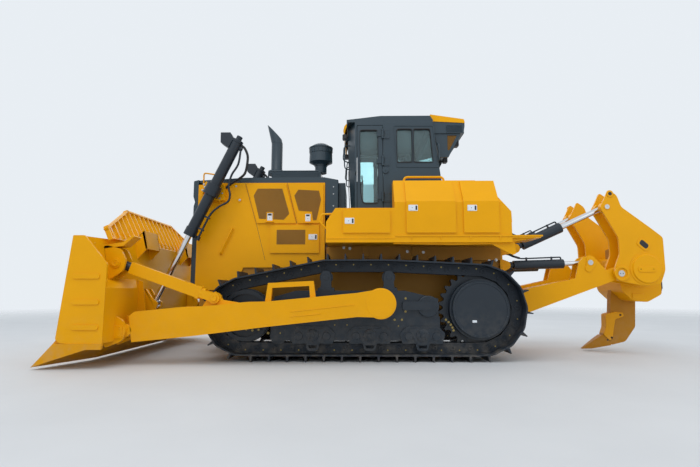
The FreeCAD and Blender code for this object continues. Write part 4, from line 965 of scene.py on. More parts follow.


# Ripper: pin ends, bosses, hoses, and dark discs of painted shade in the holes of the pins and plates and at the bolts
# of the guard and tip

def ripper_fittings():
    pins = Form(*BOTH)
    bosses = Form(*BOTH)
    holes = Form(*BOTH)
    arm_pins = Form(*BOTH)
    pins.turned(spot(TILT_EYE, 0.723), [(0, 0.04), (0.006, 0.038), (0.006, 0.01), (0.002, 0.008)], 28)
    pins.turned(spot(BEAM_PIN, 0.716), [(0, 0.052), (0.012, 0.05), (0.012, 0)], 28)
    # Dark discs of painted shade in the small holes of the pin end and plate.
    for dx in (-0.022, 0.022):
        holes.turned((-3.82 + dx, 0.728, 1.289), [(0, 0.007), (0.001, 0.007)], 10)
    for dx in (-0.1, 0.1):
        holes.turned((-4.209 + dx, 0.759, 1.355), [(0, 0.009), (0.001, 0.009)], 10)
    arm_pins.turned(spot(ARM_EYE, 0.672), [(0, 0.044), (0.008, 0.042), (0.008, 0.009), (0.003, 0.008)], 28)
    bosses.plate(arc(*ARM_EYE, 0.092, 50, 230, 8) + arc(-3.335, 1.375, 0.062, 240, 410, 6), 0.659, 0.673)
    bosses.piece("arm_bosses", "ripper_arms", "yellow", "yellow", 0.003)
    arm_pins.piece("arm_pin_ends", "ripper_arms", "zinc_bolt", "rod")
    pins.piece("beam_pin_ends", "ripper_beam", "zinc_bolt", "rod")
    # Dark rings of painted shade at the bolts of the guard and tip.
    for x, z in ((-4.105, 0.605), (-3.935, 0.225)):
        holes.turned((x, 0.081, z), [(0, 0.018), (0.0015, 0.018), (0.0015, 0.012), (-0.001, 0.012)], 16)
    holes.turned((-3.868, 0.069, 0.185), [(0, 0.015), (0.002, 0.014)], 14)
    holes.piece("ripper_holes", "ripper_beam", "gap_shade", "dark")


RIPPER_CYLINDERS = {
    "ripper_tilt_barrels": ((-2.18, 1.7), TILT_EYE, 0.085, 0.855, 0.8),
    "ripper_lift_barrels": ((-2.022, 1.426), ARM_EYE, 0.072, 0.95, 0.9),
}


def ripper_plumbing(side_name, side):
    """A pipe along each ripper cylinder and the hose from the tractor's rear to its base."""
    for body, (base, eye, radius, gland, reach) in RIPPER_CYLINDERS.items():
        way = Vector((eye[0] - base[0], 0, eye[1] - base[1])).normalized()
        up = Vector((way.z, 0, -way.x))

        def at(t, n, dy=0.0):
            return spot(base, side * (0.55 + dy)) + way * t + up * n

        pipe = Form()
        pipe.tube(rounded_route([at(gland - 0.03, radius - 0.01), at(gland - 0.035, radius + 0.03),
                                 at(gland - 0.11, radius + 0.036), at(0.33, radius + 0.032),
                                 at(0.25, radius + 0.04)], 5), 0.012)
        for t in (0.36, gland - 0.18):
            pipe.skin([[at(t + a, n, dy) for n, dy in rect(radius - 0.006, radius + 0.05, -0.018, 0.018)]
                       for a in (-0.01, 0.01)])
        pipe.piece(body[:-1] + "_pipe_" + side_name, body, "under", "dark", 0.002)
        lift = 0.2 if "tilt" in body else 0.13
        start = at(0.25, radius + 0.04)
        top = base[1] + radius + lift * 0.9
        hose_route = [start, at(0.15, radius + 0.075), at(0.06, radius + lift * 0.9, -0.02),
                      Vector((base[0] + 0.06, side * 0.5, top)), Vector((-1.99, side * 0.46, base[1] + 0.06)),
                      Vector((-1.94, side * 0.45, base[1] - 0.04))]
        hose = Form()
        hose.tube(rounded_route(hose_route, 6), 0.018)
        hose = hose.piece(body[:-1] + "_hose_" + side_name, None, "rubber", "dark")
        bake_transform(hose)


for side_name, side in SIDES:
    track_chain(side_name, side)
    undercarriage_bolts(side_name, side)
    sprocket_plate(side_name, side)
    cab_side(side_name, side)
    lift_plumbing(side_name, side)
    ripper_plumbing(side_name, side)
doors()
cab_front()
lamp_lenses()
unit_louvres()
seat()
controls()
blade_fittings()
ripper_fittings()


# Main forms that stand proud of the plainer solids or take their place

def bent(points, bend, steps=4):
    """Open route with its inner corners rounded."""
    points = [Vector(point) for point in points]
    route = [points[0]]
    for before, corner, after in zip(points, points[1:], points[2:]):
        toward = (before - corner).normalized() * bend
        onward = (after - corner).normalized() * bend
        for k in range(steps + 1):
            t = k / steps
            route.append(corner + toward * (1 - t) ** 2 + onward * t ** 2)
    route.append(points[-1])
    return route


def bar_outline(a, b, width):
    """Corners of a straight bar of one width along a line in X and Z."""
    run = (Vector(b) - Vector(a)).normalized() * width / 2
    return [(a[0] - run.y, a[1] + run.x), (b[0] - run.y, b[1] + run.x), (b[0] + run.y, b[1] - run.x),
            (a[0] + run.y, a[1] - run.x)]


ROLLER_Z = 0.36
ROLLERS = (1.248, 0.846, 0.419, 0.017, -0.347, -0.746)
FRAME_LUGS = (
    ((0.811, 0.552), (0.75, 0.462), (0.508, 0.457), (0.436, 0.552)),
    ((0.013, 0.552), (-0.107, 0.452), (-0.191, 0.44), (-0.313, 0.552)),
    ((-0.784, 0.62), (-0.728, 0.552), (-0.414, 0.552), (-0.414, 0.664), (-0.543, 0.664), (-0.6, 0.62)),
    ((1.44, 0.58), (1.47, 0.29), (1.646, 0.29), (1.676, 0.58)),
)


def frame_side(side_name, side):
    """Bogies with their shields, caps and loop guards, carrier stands and the rear cap."""
    form = Form(side)

    def at(outline, y0, y1, radius=0.024):
        form.plate(rounded_corners(outline, radius, 3), y0, y1)

    for x in BOGIES:
        at([(x + 0.225, 0.5), (x + 0.33, 0.4), (x + 0.29, 0.25), (x + 0.11, 0.258), (x + 0.073, 0.231),
            (x - 0.073, 0.231), (x - 0.11, 0.258), (x - 0.29, 0.25), (x - 0.33, 0.4), (x - 0.225, 0.5)],
           1.329, 1.352)
        at([(x + 0.19, 0.47), (x + 0.11, 0.3), (x + 0.073, 0.231), (x - 0.073, 0.231), (x - 0.11, 0.3),
            (x - 0.19, 0.47)], 1.35, 1.366, 0.015)
        at([(x + 0.1, 0.25), (x + 0.08, 0.172), (x + 0.045, 0.149), (x - 0.045, 0.149), (x - 0.08, 0.172),
            (x - 0.1, 0.25), (x - 0.066, 0.232), (x - 0.052, 0.186), (x + 0.052, 0.186), (x + 0.066, 0.232)],
           1.33, 1.36, 0.006)
        form.turned((x, 1.364, BOGIE_Z), [(0, 0.09), (0.014, 0.088), (0.018, 0.08), (0.018, 0)], 28)
    for x in ROLLERS:
        form.turned((x, 1.35, ROLLER_Z), [(0, 0.07), (0.01, 0.07), (0.01, 0.058), (0.022, 0.054), (0.022, 0)],
                    24)
    for lug in FRAME_LUGS:
        at(lug, 1.329, 1.3325)
    for x in CARRIERS:
        at([(x - 0.075, 1.045), (x + 0.075, 1.045), (x + 0.075, 1.212), (x + 0.044, 1.304),
            (x - 0.044, 1.304), (x - 0.075, 1.212)], 1.272, 1.333, 0.015)
        at(rect(x - 0.122, x + 0.122, 1.01, 1.05), 1.26, 1.336, 0.006)
        form.turned((x, 1.332, CARRIER_Z), [(0, 0.04), (0.01, 0.038), (0.01, 0)], 20)
    form.turned(spot(BAR_CAP, 1.329), [(0, 0.155), (0.036, 0.155), (0.041, 0.148), (0.041, 0)], 36)
    at(rect(-0.26, -0.69, 0.735, 0.858), 1.329, 1.392, 0.04)
    form.turned(spot(PIVOT, 1.325), [(0, 0.181), (0.065, 0.16), (0.17, 0.157)], 36)
    form.piece("frame_side_" + side_name, "root", "under", "dark", 0.003)


def cover_rim(side_name, side):
    rim = Form(side)
    rim.turned(spot(SPROCKET_AT, COVER_FACE), [(0, 0.412), (0.008, 0.404), (0.008, 0.38), (0, 0.375)], 64)
    rim.piece("cover_rim_" + side_name, "root", "under", "dark")


HOOD_HALF = 0.7
GUARD_REAR = 3.023
GUARD_FRONT = 3.097
GUARD_BARS = 16


def hood_front():
    """Yellow side walls up to the dark front frame, its bars and the core between them."""
    walls = Form(*BOTH)
    walls.plate(rect(2.953, GUARD_REAR, 1.027, 2.79), HOOD_HALF - 0.03, HOOD_HALF)
    walls.plate(rect(2.953, GUARD_REAR, 2.76, 2.79), -HOOD_HALF, HOOD_HALF)
    walls = walls.piece("hood_front_walls", "root", "yellow", "yellow")
    frame_form = Form(*BOTH)
    frame_form.plate([(GUARD_REAR, 1.1), (GUARD_REAR, 2.844), (3.107, 2.822), (3.107, 2.563), (3.077, 2.47),
                      (GUARD_FRONT, 2.4), (GUARD_FRONT, 1.1)], 0.61, HOOD_HALF)
    for z0, z1 in ((1.1, 1.19), (2.7, 2.82)):
        frame_form.plate(rect(3.0, GUARD_FRONT, z0, z1), -0.615, 0.615)
    frame_form.plate(rect(2.954, 3.027, 1.15, 2.71), -0.62, 0.62)
    for i in range(GUARD_BARS):
        z = 1.19 + 1.51 * (i + 0.5) / GUARD_BARS
        bar = [(3.05, z + 0.03), (3.08, z - 0.012), (3.08, z - 0.022), (3.044, z + 0.026)]
        frame_form.plate(bar, -0.612, 0.612)
    frame_form = frame_form.piece("hood_front_frame", "root", "dark", "dark", 0.004)
    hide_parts("radiator_guard")
    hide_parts("radiator_guard")


STACK_AT = (1.81, 0.25)
BOWL_AT = (1.033, 0.25)
PIPE_R = 0.098


def stack():
    """Exhaust with its slanted mouth, the air bowl and its dome."""
    form = Form()
    form.turned((*STACK_AT, 3.03), [(0, 0.15), (0.07, 0.15), (0.07, 0.102), (0.08, 0.098), (0.57, 0.098)], 32,
                axis=UP)
    rings = []
    for radius, lowest in ((PIPE_R, True), (PIPE_R, False), (PIPE_R - 0.01, False), (PIPE_R - 0.01, True)):
        ring = []
        for i in range(32):
            angle = 2 * math.pi * i / 32
            x = STACK_AT[0] + radius * math.cos(angle)
            share = 0.0 if lowest else (3.55 + 1.058 * (x - 1.612) - 3.6) / 0.272
            ring.append((x + 0.083 * share, STACK_AT[1] + radius * math.sin(angle), 3.6 + 0.36 * share))
        rings.append(ring)
    form.skin(rings)
    form = form.piece("exhaust_pipe", "root", "dark", "dark", 0.003)
    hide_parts("exhaust_stack")
    bowl = Form()
    profile = [(0, 0.102), (0.126, 0.102), (0.126, 0.114), (0.15, 0.114), (0.15, 0.128), (0.178, 0.17),
               (0.192, 0.204), (0.34, 0.2), (0.348, 0.192), (0.356, 0.2), (0.438, 0.2), (0.44, 0.21),
               (0.458, 0.21)]
    for k in range(7):
        height = 0.175 + (0.258 - 0.175) * math.sin(math.pi / 2 * k / 6)
        profile.append((0.283 + height, math.sqrt(0.26 ** 2 - height ** 2)))
    bowl.turned((*BOWL_AT, 3.06), profile, 36, axis=UP)
    for i in range(18):
        angle = 2 * math.pi * i / 18
        out = Vector((math.cos(angle), math.sin(angle), 0))
        across = Vector((-out.y, out.x, 0)) * 0.004
        foot = Vector((*BOWL_AT, 0)) + out * 0.199
        ring = (foot - across, foot + across, foot + across + out * 0.007, foot - across + out * 0.007)
        bowl.skin([[point + Vector((0, 0, z)) for point in ring] for z in (3.425, 3.495)])
    bowl = bowl.piece("air_bowl", "root", "dark", "dark", 0.002)
    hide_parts("air_precleaner")
    wall = Form()
    wall.plate([(0.926, 2.24), (0.926, 2.885), (0.706, 2.841), (0.706, 2.24)], -0.695, 0.695)
    wall.plate(rect(0.592, 0.715, 2.24, 2.82), -0.56, 0.56)
    wall = wall.piece("bulkhead", "root", "dark", "dark", 0.012)
    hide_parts("firewall")


HOOD_SEAMS = (
    ((2.25, 2.788), (2.048, 2.098)),
    ((2.048, 2.098), (1.893, 1.511)),
    ((1.553, 2.788), (1.382, 2.098)),
)


def hood_side(side_name, side):
    """Seams as dark strips of painted shade, grab bar, boss, the bent rail on top and the low rail of the raised
    cover.
    """
    dark = Form(side)
    # Dark strips of painted shade along the seams.
    for a, b in HOOD_SEAMS:
        dark.plate(bar_outline(a, b, 0.005), HOOD_HALF - 0.0005, HOOD_HALF + 0.0006)
    dark.piece("hood_seams_" + side_name, "root", "gap_shade", "dark")
    form = Form(side)
    grip = [(2.433, 0.69, 2.019), (2.433, 0.75, 2.019), (2.618, 0.75, 1.61), (2.618, 0.69, 1.61)]
    form.tube(bent(grip, 0.03), 0.013)
    hook = [(2.948, 2.78), (2.95, 2.966), (2.745, 2.935), (2.745, 2.78)]
    form.tube(bent(at_level(hook, 0.685), 0.04), 0.012)
    form.turned(spot(HOOD_BOSS, 0.695), [(0, 0.03), (0.019, 0.03), (0.019, 0)], 24)
    form.piece("hood_grips_" + side_name, "root", "yellow", "yellow")
    rail = Form(side)
    loop = [(1.9, 2.88), (1.9, 3.035), (1.03, 3.035), (1.03, 2.88)]
    rail.tube(bent(at_level(loop, 0.52), 0.04), 0.012)
    rail.piece("cover_rail_" + side_name, "root", "dark", "dark")


GUSSETS = (-0.409, -0.837, -1.275, -1.712)


def fender_side(side_name, side):
    """Ledge under the boxes, skirt and gussets below it, grab rails and the low lip."""
    form = Form(side)
    form.plate(rect(-1.89, -0.17, 1.808, 1.83), 1.398, 1.412)
    form.plate(rect(-2.33, -1.88, 1.806, 1.828), 0.76, 1.41)
    skirt = [(-0.14, 1.73), (-0.14, 1.702), (-1.037, 1.686), (-1.597, 1.696), (-1.904, 1.538), (-1.95, 1.56),
             (-1.93, 1.81)]
    form.plate(skirt, 1.325, 1.345)
    form.plate(rect(-0.16, 0.85, 1.776, 1.792), 1.399, 1.407)
    for x in GUSSETS:
        form.skin([[(level, y, z) for y, z in ((1.399, 1.81), (1.411, 1.81), (1.411, 1.796), (1.399, 1.735))]
                   for level in (x - 0.008, x + 0.008)])
    rail = [(-1.49, 2.6), (-1.545, 2.664), (-1.94, 2.212), (-1.946, 2.04), (-1.876, 2.0)]
    form.tube(bent(at_level(rail, 1.19), 0.024), 0.015)
    grip = [(0.85, 1.927), (0.965, 2.045), (0.925, 2.15), (0.762, 2.156)]
    form.tube(bent(at_level(grip, 1.36), 0.028), 0.015)
    form.piece("fender_trim_" + side_name, "root", "yellow", "yellow", 0.002)
    # Ribs under the deck in the darker frame yellow, which is painted shade.
    ribs = Form(side)
    for x0, x1 in ((0.207, 0.318), (-0.606, -0.471)):
        ribs.plate(rect(x0, x1, 1.566, 1.722), 0.759, 0.774)
    ribs.piece("frame_ribs_" + side_name, "root", "frame_brown", "frame_brown", 0.004)


def roof_fittings():
    """Yellow visor and rear cover, the unit behind the cab with its guards, and the lamps."""
    trim = Form()
    trim.plate(rounded_corners([(0.335, 3.86), (0.556, 3.852), (0.612, 3.786), (0.63, 3.7), (0.606, 3.64),
                                (0.59, 3.64), (0.596, 3.7), (0.566, 3.79), (0.508, 3.78), (0.335, 3.79)],
                               0.014, 3), -0.62, 0.62)
    trim.plate(rounded_corners([(-0.8, 3.89), (-1.355, 3.806), (-1.37, 3.742), (-0.8, 3.773)], 0.012, 3),
               -0.87, 0.87)
    trim.piece("roof_covers", "root", "yellow", "yellow", 0.006)
    unit = Form(*BOTH)
    unit.plate(rounded_corners([(-0.8, 3.57), (-0.8, 3.79), (-1.366, 3.76), (-1.366, 3.69), (-1.345, 3.571)],
                               0.014, 3), -0.86, 0.86)
    unit.plate([(-0.87, 3.575), (-1.3, 3.575), (-1.29, 3.53), (-1.095, 3.174), (-1.11, 3.29), (-1.24, 3.54),
                (-1.08, 3.54), (-1.08, 3.57)], 0.81, 0.84)
    unit.plate([(-0.87, 3.574), (-1.082, 3.574), (-1.082, 3.292), (-1.112, 3.292), (-1.095, 3.174),
                (-0.95, 3.174)], 0.81, 0.84)
    unit = unit.piece("rear_unit", "root", "dark", "dark", 0.003)
    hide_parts("air_conditioner")
    lamps = Form(*BOTH)
    lamps.plate(rounded_box(0.566, 0.64, 3.56, 3.639, 0.018), 0.52, 0.64)
    lamps.plate(rect(0.52, 0.57, 3.595, 3.615), 0.57, 0.59)
    lamps.plate(rounded_box(-1.33, -1.25, 3.45, 3.55, 0.018), 0.44, 0.56)
    lamps.plate(rect(-1.296, -1.284, 3.54, 3.575), 0.49, 0.51)
    lamps = lamps.piece("lamp_housings", "root", "lamp", "lamp", 0.004)
    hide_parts("work_lamps")
    frames = Form(*BOTH)
    outer = rounded_corners([(-0.197, 3.685), (-0.842, 3.682), (-0.913, 2.98), (-0.238, 2.983)], 0.02)
    frames.ribbon(outer, side_place(CAB_FACE), -0.02, 0.009)
    grip = [(-0.9, 0.922, 3.372), (-0.92, 0.966, 3.34), (-0.92, 0.966, 3.11), (-0.9, 0.922, 3.078)]
    frames.tube(bent(grip, 0.02), 0.012)
    frames.piece("cab_side_frames", "root", "dark", "dark", 0.002)


# Blade: moldboard, ends, slatted guard and the brackets behind it

BLADE_HALF = 2.157
BOARD_BOTTOM = 0.336
BOARD_TOP = 1.746
BOARD_TOP_X = 3.895
BOARD_BACK = 3.697
GUARD_FLAT = 0.895
GUARD_TOP = 2.332
GUARD_LEAN = math.radians(26)


def arc_points(a, b, c, steps):
    """Points of the circle through three points, from the first to the last."""
    a, b, c = Vector(a), Vector(b), Vector(c)
    d = 2 * (a.x * (b.y - c.y) + b.x * (c.y - a.y) + c.x * (a.y - b.y))
    squares = [point.length_squared for point in (a, b, c)]
    centre = Vector(((squares[0] * (b.y - c.y) + squares[1] * (c.y - a.y) + squares[2] * (a.y - b.y)) / d,
                     (squares[0] * (c.x - b.x) + squares[1] * (a.x - c.x) + squares[2] * (b.x - a.x)) / d))
    start = math.atan2(a.y - centre.y, a.x - centre.x) % (2 * math.pi)
    end = math.atan2(c.y - centre.y, c.x - centre.x) % (2 * math.pi)
    radius = (a - centre).length
    return arc(centre.x, centre.y, radius, math.degrees(start), math.degrees(end), steps)


def board_section(front, recess, top):
    """Curved front between bottom, hollow and top, closed by the back."""
    points = arc_points((front, BOARD_BOTTOM), (recess, 0.98), (top, BOARD_TOP), 12)
    return points + [(top - 0.075, BOARD_TOP), (recess - 0.06, 1.18), (BOARD_BACK, 1.05), (BOARD_BACK, BOARD_BOTTOM)]


def guard_spot(y, z, x):
    """Point of the upright guard, leaned about the moldboard's top edge."""
    dx = x - BOARD_TOP_X
    dz = z - BOARD_TOP
    return Vector((BOARD_TOP_X + dx * math.cos(GUARD_LEAN) + dz * math.sin(GUARD_LEAN), y,
                   BOARD_TOP - dx * math.sin(GUARD_LEAN) + dz * math.cos(GUARD_LEAN)))


def guard_top(y):
    """Level of the guard's top edge, which falls towards its ends."""
    return GUARD_TOP - max(0.0, abs(y) - GUARD_FLAT) * 0.4827


def blade():
    form = Form(*BOTH)
    middle = board_section(4.01, 3.79, BOARD_TOP_X)
    end = board_section(4.29, 4.06, 4.161)
    sections = ((-WING_END, end), (-WING_START, middle), (WING_START, middle), (WING_END, end))
    form.skin([[(x, y, z) for x, z in outline] for y, outline in sections], once=True)
    end_form = rounded_corners([(4.172, BOARD_TOP), (4.02, BOARD_TOP), (BOARD_BACK, 1.366), (BOARD_BACK, 0.3),
                                (4.25, 0.335), (4.311, 0.389)], 0.012, 3)
    form.plate(end_form, WING_END, BLADE_HALF - 0.01)
    for z in (1.201, 0.865, 0.539):
        shift = (z - 1.201) * 0.03
        form.plate(rounded_box(3.777 + shift, 4.131 + shift, z - 0.032, z + 0.032, 0.03), BLADE_HALF - 0.011,
                   BLADE_HALF + 0.004)
    foot = rounded_corners([(3.87, 0.872), (3.77, 0.705), (3.6, 0.61), (3.545, 0.47), (3.6, 0.33),
                            (3.829, 0.24)], 0.045)
    form.plate(foot, 1.78, 1.84)
    form.plate(foot, 1.46, 1.52)
    form.plate(rounded_box(3.59, 3.762, 0.372, 0.545, 0.03), 1.839, 1.856)
    ear = rounded_corners([(3.99, 1.62), (3.93, 1.65), (3.72, 1.6), (3.64, 1.44), (3.67, 1.3), (3.84, 1.18),
                           (3.9, 1.15)], 0.035)
    for y in (1.54, 1.72):
        form.plate(ear, y, y + 0.04)
    for y in (1.524, 1.759):
        form.turned(spot(BRACE_HEAD, y), [(0, 0.07), (0.017, 0.07)], 28)
    spout = [(3.99, 1.6), (3.99, 1.65), (3.7, 1.69), (3.56, 1.79), (3.54, 1.775), (3.69, 1.64)]
    form.plate(spout, 1.54, 1.76)
    lug = rounded_corners([(3.707, 1.04), (3.66, 1.05), (3.56, 0.9), (3.47, 0.83), (3.5, 0.72),
                           (3.707, 0.64)], 0.03)
    for y in (0.82, 1.0):
        form.plate(lug, y, y + 0.04)
    form.plate([(3.707, 1.18), (3.64, 1.15), (3.56, 0.64), (3.62, 0.4), (3.707, 0.4)], 1.18, 1.205)
    for y in (0.64, 1.095):
        form.plate([(3.88, 1.74), (3.7, 1.94), (3.64, 1.66), (3.8, 1.48), (3.85, 1.48)], y, y + 0.025)
    form.plate([(3.7, 1.94), (3.64, 1.66), (3.66, 1.655), (3.725, 1.9), (3.872, 1.746), (3.88, 1.752)], 0.64,
               1.12)
    lowest = 1.734
    form.skin([[guard_spot(y, z, x) for x, z in rect(3.861, 3.891, lowest, 1.85)] for y in (-1.8, 1.8)],
              once=True)
    for i in range(-10, 11):
        y = i * 0.172
        form.skin([[guard_spot(y + dy, z, x) for dy, x in rect(-0.011, 0.011, 3.835, 3.895)]
                   for z in (1.76, guard_top(y) - 0.01)], once=True)
    rim = [(-1.8, lowest), (-1.79, 1.9), (-GUARD_FLAT, GUARD_TOP), (GUARD_FLAT, GUARD_TOP), (1.79, 1.9), (1.8, lowest)]
    for (ay, az), (by, bz) in zip(rim, rim[1:]):
        run = Vector((by - ay, bz - az)).normalized() * 0.028
        start = Vector((ay, az)) - run * 0.9
        end = Vector((by, bz)) + run * 0.9
        rings = []
        for lift in (Vector((0, 0)), Vector((run.y, -run.x))):
            near, far = start + lift, end + lift
            rings.append([guard_spot(near.x, near.y, 3.832), guard_spot(near.x, near.y, 3.898),
                          guard_spot(far.x, far.y, 3.898), guard_spot(far.x, far.y, 3.832)])
        form.skin(rings, once=True)
    form = form.piece("moldboard", "blade_lift", "yellow", "yellow", 0.004)
    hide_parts("blade")


def braces():
    """Box sections of the braces, their dark necks, and lines, nose and lug of each arm."""
    foot = Vector(BRACE_FOOT)
    run = Vector(BRACE_HEAD) - foot
    way = run.normalized()
    length = run.length
    form = Form(*BOTH)
    form.plate(bar_outline(foot + way * 0.21, foot + way * (length - 0.19), 0.158), 1.588, 1.712)
    form.plate(bar_outline(foot + way * 0.214, foot + way * 0.262, 0.172), 1.58, 1.72)
    form.plate(bar_outline((1.317, 0.726), (0.433, 0.822), 0.012), 1.779, 1.785)
    form.plate(bar_outline((1.317, 0.659), (0.897, 0.699), 0.012), 1.779, 1.785)
    form.plate(rounded_corners([(2.57, 0.785), (2.462, 0.965), (2.33, 0.97), (2.29, 0.885), (2.037, 0.845),
                                (2.037, 0.79)], 0.025), 1.615, 1.6855)
    form.turned((3.59, 1.52, 0.47), [(0, 0.088), (0.26, 0.088)], 28)
    form.turned(spot(PIVOT, 1.779), [(0, 0.2), (0.004, 0.198), (0.004, 0)], 48)
    form.piece("arm_and_brace_forms", "blade_lift", "yellow", "yellow", 0.005)
    necks = Form(*BOTH)
    neck = [(0, 0.066), (0.03, 0.066), (0.03, 0.0635), (0.128, 0.0635)]
    necks.turned(spot(foot + way * (length - 0.19), 1.65), neck, 24, spot(way, 0))
    necks.piece("brace_necks", "blade_lift", "under", "dark")


def lift_forms(side_name, side):
    """Gland collar, head ring and cap of a lift barrel, its lamp box, and the yoke's cheeks."""
    form = Form(side)
    for near, far, radius in ((0.678, 0.813, 0.098), (-0.912, -0.862, 0.094), (-0.982, -0.905, 0.048)):
        form.turned(lift_spot(near, 0), [(0, radius - 0.003), (0.004, radius), (far - near - 0.004, radius),
                                         (far - near, radius - 0.003)], 28, axis=LIFT_WAY)
    form.plate([(2.598, 3.556), (2.441, 3.556), (2.386, 3.465), (2.47, 3.3), (2.596, 3.391)], 0.858, 1.002)
    form.plate([(2.44, 3.42), (2.32, 3.4), (2.37, 3.26), (2.5, 3.32)], 0.9, 0.96)
    form.piece("lift_barrel_forms_" + side_name, "lift_barrels", "under", "dark", 0.003)
    cheeks = Form(side)
    cheeks.plate([(2.872, 2.797), (2.8, 2.75), (2.92, 2.59), (2.955, 2.655)], 0.74, 0.8)
    cheeks.plate([(2.616, 2.69), (2.551, 2.626), (2.64, 2.457), (2.72, 2.525)], 0.74, 0.8)
    cheeks.piece("yoke_cheeks_" + side_name, "root", "yellow", "yellow", 0.004)


# Ripper: beam plates, shank, guard, tip and push block

BEAM_FORM = [(-3.706, 2.66), (-3.835, 2.56), (-3.893, 2.371), (-4.355, 2.01), (-4.524, 1.87), (-4.524, 1.34),
             (-4.44, 1.13), (-4.222, 1.082), (-3.984, 1.128), (-3.76, 1.17), (-3.7, 1.289), (-3.737, 1.412),
             (-3.82, 1.6), (-3.815, 1.86), (-3.551, 2.364), (-3.6, 2.44)]
SHANK_FORM = [(-3.99, 1.74), (-3.99, 0.99), (-3.976, 0.95), (-3.944, 0.6), (-3.9, 0.43), (-3.785, 0.265),
              (-3.841, 0.17), (-3.93, 0.1), (-4.174, 0.158), (-4.358, 0.403), (-4.391, 0.835), (-4.43, 1.74)]
GUARD_FORM = [(-3.86, 0.618), (-4.027, 0.661), (-4.156, 0.645), (-4.165, 0.58), (-4.018, 0.532),
              (-3.97, 0.317), (-3.95, 0.21), (-3.9, 0.175), (-3.8, 0.275), (-3.85, 0.402)]


def ripper_forms():
    form = Form(*BOTH)
    outline = rounded_corners(BEAM_FORM, 0.04, 3)
    for y in (0.675, 0.385):
        form.plate(outline, y, y + 0.04)
    box = rounded_corners([(-3.96, 1.135), (-3.993, 1.009), (-4.148, 0.858), (-4.395, 0.829), (-4.64, 0.96),
                           (-4.64, 1.565), (-4.35, 1.65), (-3.96, 1.56)], 0.04, 3)
    form.plate(box, -0.395, 0.395)
    form.plate(rounded_box(-4.338, -4.147, 0.88, 0.97, 0.008), 0.394, 0.404)
    form.plate(rounded_corners([(-4.17, 1.875), (-4.08, 1.765), (-4.24, 1.63), (-4.33, 1.74)], 0.05), 0.714,
               0.725)
    form.plate(rounded_box(-4.351, -4.067, 1.309, 1.401, 0.04), 0.749, 0.76)
    form.turned(spot(BEAM_BOSS, BEAM_FACE), [(0, 0.262), (0.011, 0.262), (0.011, 0.232), (0.036, 0.222),
                                             (0.036, 0)], 48)
    form.turned(spot(BEAM_BOSS, 0.395), [(0, 0.23), (0.29, 0.23)], 40)
    form.turned(spot(BEAM_PIN, BEAM_FACE), [(0, 0.118), (0.026, 0.118), (0.026, 0.088), (0.006, 0.088)], 36)
    form.turned(spot(BEAM_HOLE, BEAM_FACE), [(0, 0.057), (0.011, 0.057)], 28)
    form.turned(spot(TILT_EYE, BEAM_FACE), [(0, 0.052), (0.009, 0.05)], 28)
    form.turned(spot(TILT_EYE, 0.598), [(0, 0.088), (0.085, 0.088)], 28)
    form.turned(spot(TILT_EYE, 0.415), [(0, 0.088), (0.087, 0.088)], 28)
    form = form.piece("ripper_frame", "ripper_beam", "yellow", "yellow", 0.004)
    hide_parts("ripper_beam")
    # The beam plate's slot and hole as dark sheets of painted shade.
    dark = Form(*BOTH)
    slot_form = rounded_corners([(-4.176, 1.84), (-4.125, 1.77), (-4.235, 1.672), (-4.29, 1.738)], 0.036)
    dark.plate(slot_form, 0.7246, 0.7256)
    dark.turned(spot(BEAM_HOLE, 0.7246), [(0, 0.03), (0.001, 0.03)], 24)
    dark.piece("beam_slots", "ripper_beam", "gap_shade", "dark")
    push = Form()
    push.plate([(-4.636, 1.0), (-4.636, 1.56), (-4.67, 1.56), (-4.705, 1.48), (-4.705, 1.06), (-4.68, 1.0)],
               -0.33, 0.33)
    push.piece("push_block", "ripper_beam", "under", "dark", 0.01)
    shank = Form()
    shank.plate(rounded_corners(SHANK_FORM, 0.035), -0.055, 0.055)
    shank = shank.piece("shank_plate", "ripper_beam", "shank", "shank", 0.004)
    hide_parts("ripper_shank")
    guard = Form()
    guard.plate(rounded_corners(GUARD_FORM, 0.02), -0.081, 0.081)
    guard.piece("shank_guard", "ripper_beam", "edge_steel", "edge_steel", 0.006)
    tip = Form()
    section = [(-3.78, 0.069, 0.27), (-3.838, 0.069, 0.24), (-3.9, 0.069, 0.168), (-3.925, 0.069, 0.097),
               (-3.6, 0.055, 0.04), (-3.44, 0.022, 0.032), (-3.452, 0.022, 0.05), (-3.65, 0.06, 0.185)]
    tip.skin([[(x, side * y, z) for x, y, z in section] for side in (-1, 1)])
    tip = tip.piece("ripper_tip", "ripper_beam", "shank", "shank", 0.004)
    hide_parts("ripper_tooth")


for side_name, side in SIDES:
    frame_side(side_name, side)
    cover_rim(side_name, side)
    hood_side(side_name, side)
    fender_side(side_name, side)
    lift_forms(side_name, side)
hood_front()
stack()
roof_fittings()
blade()
braces()
ripper_forms()


# Stage: floor, sky light, lamps and camera

FLOOR_NEAR = 11.0
FLOOR_FAR = 30.0


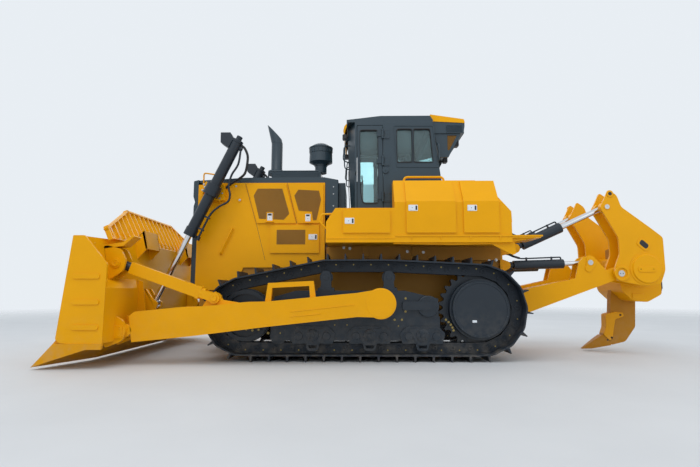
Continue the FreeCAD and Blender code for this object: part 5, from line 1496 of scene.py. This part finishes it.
def floor():
    """Pale floor that fades into the backdrop's tone with distance from the machine."""
    mesh = bpy.data.meshes.new("floor")
    size = 60.0
    mesh.from_pydata([(-size, -size, 0), (size, -size, 0), (size, size, 0), (-size, size, 0)], [],
                     [(0, 1, 2, 3)])
    plane = bpy.data.objects.new("floor", mesh)
    bpy.context.scene.collection.objects.link(plane)
    material = new_material("pale_floor")
    n = Nodes(material)
    where = n.add("ShaderNodeTexCoord").outputs["Object"]
    shader = n.add("ShaderNodeBsdfPrincipled")
    clear = n.add("ShaderNodeBsdfTransparent")
    blend = n.add("ShaderNodeMixShader")
    out = n.add("ShaderNodeOutputMaterial")
    length = n.add("ShaderNodeVectorMath", operation="LENGTH")
    n.link(where, length.inputs[0])
    fade = n.add("ShaderNodeMapRange", clamp=True, interpolation_type="SMOOTHSTEP")
    fade.inputs["From Min"].default_value = FLOOR_NEAR
    fade.inputs["From Max"].default_value = FLOOR_FAR
    n.link(length.outputs["Value"], fade.inputs["Value"])
    n.link(fade.outputs["Result"], blend.inputs[0])
    n.link(shader.outputs[0], blend.inputs[1])
    n.link(clear.outputs[0], blend.inputs[2])
    n.link(blend.outputs[0], out.inputs["Surface"])
    n.link(n.mix(n.noise(where, 0.8, 6.0), (0.56, 0.575, 0.59), (0.64, 0.655, 0.67)),
           shader.inputs["Base Color"])
    shader.inputs["Roughness"].default_value = 0.75
    mesh.materials.append(material)


def lights():
    world = bpy.data.worlds.new("studio")
    world.use_nodes = True
    sky = world.node_tree.nodes["Background"]
    sky.inputs["Color"].default_value = (0.9, 0.95, 1.0, 1.0)
    sky.inputs["Strength"].default_value = 0.9
    bpy.context.scene.world = world
    for name, at, energy, size in (
        ("key", (3.0, 7.0, 12.0), 520.0, 9.0),
        ("fill", (-9.0, 7.0, 6.0), 90.0, 8.0),
        ("back", (0.0, -10.0, 9.0), 300.0, 8.0),
    ):
        data = bpy.data.lights.new(name, "AREA")
        data.energy = energy
        data.size = size
        lamp = bpy.data.objects.new(name, data)
        lamp.location = at
        lamp.rotation_euler = (Vector((0, 0, 1.4)) - Vector(at)).to_track_quat("-Z", "Y").to_euler()
        bpy.context.scene.collection.objects.link(lamp)


def camera():
    data = bpy.data.cameras.new("camera")
    data.lens = LENS
    data.sensor_width = SENSOR
    data.clip_end = 200.0
    eye = bpy.data.objects.new("camera", data)
    eye.location = CAMERA_AT
    way = Vector((math.sin(CAMERA_YAW) * math.cos(CAMERA_PITCH),
                  -math.cos(CAMERA_YAW) * math.cos(CAMERA_PITCH), math.sin(CAMERA_PITCH)))
    eye.rotation_euler = way.to_track_quat("-Z", "Y").to_euler()
    bpy.context.scene.collection.objects.link(eye)
    bpy.context.scene.camera = eye


floor()
lights()
camera()
bpy.context.scene.view_settings.view_transform = "Standard"
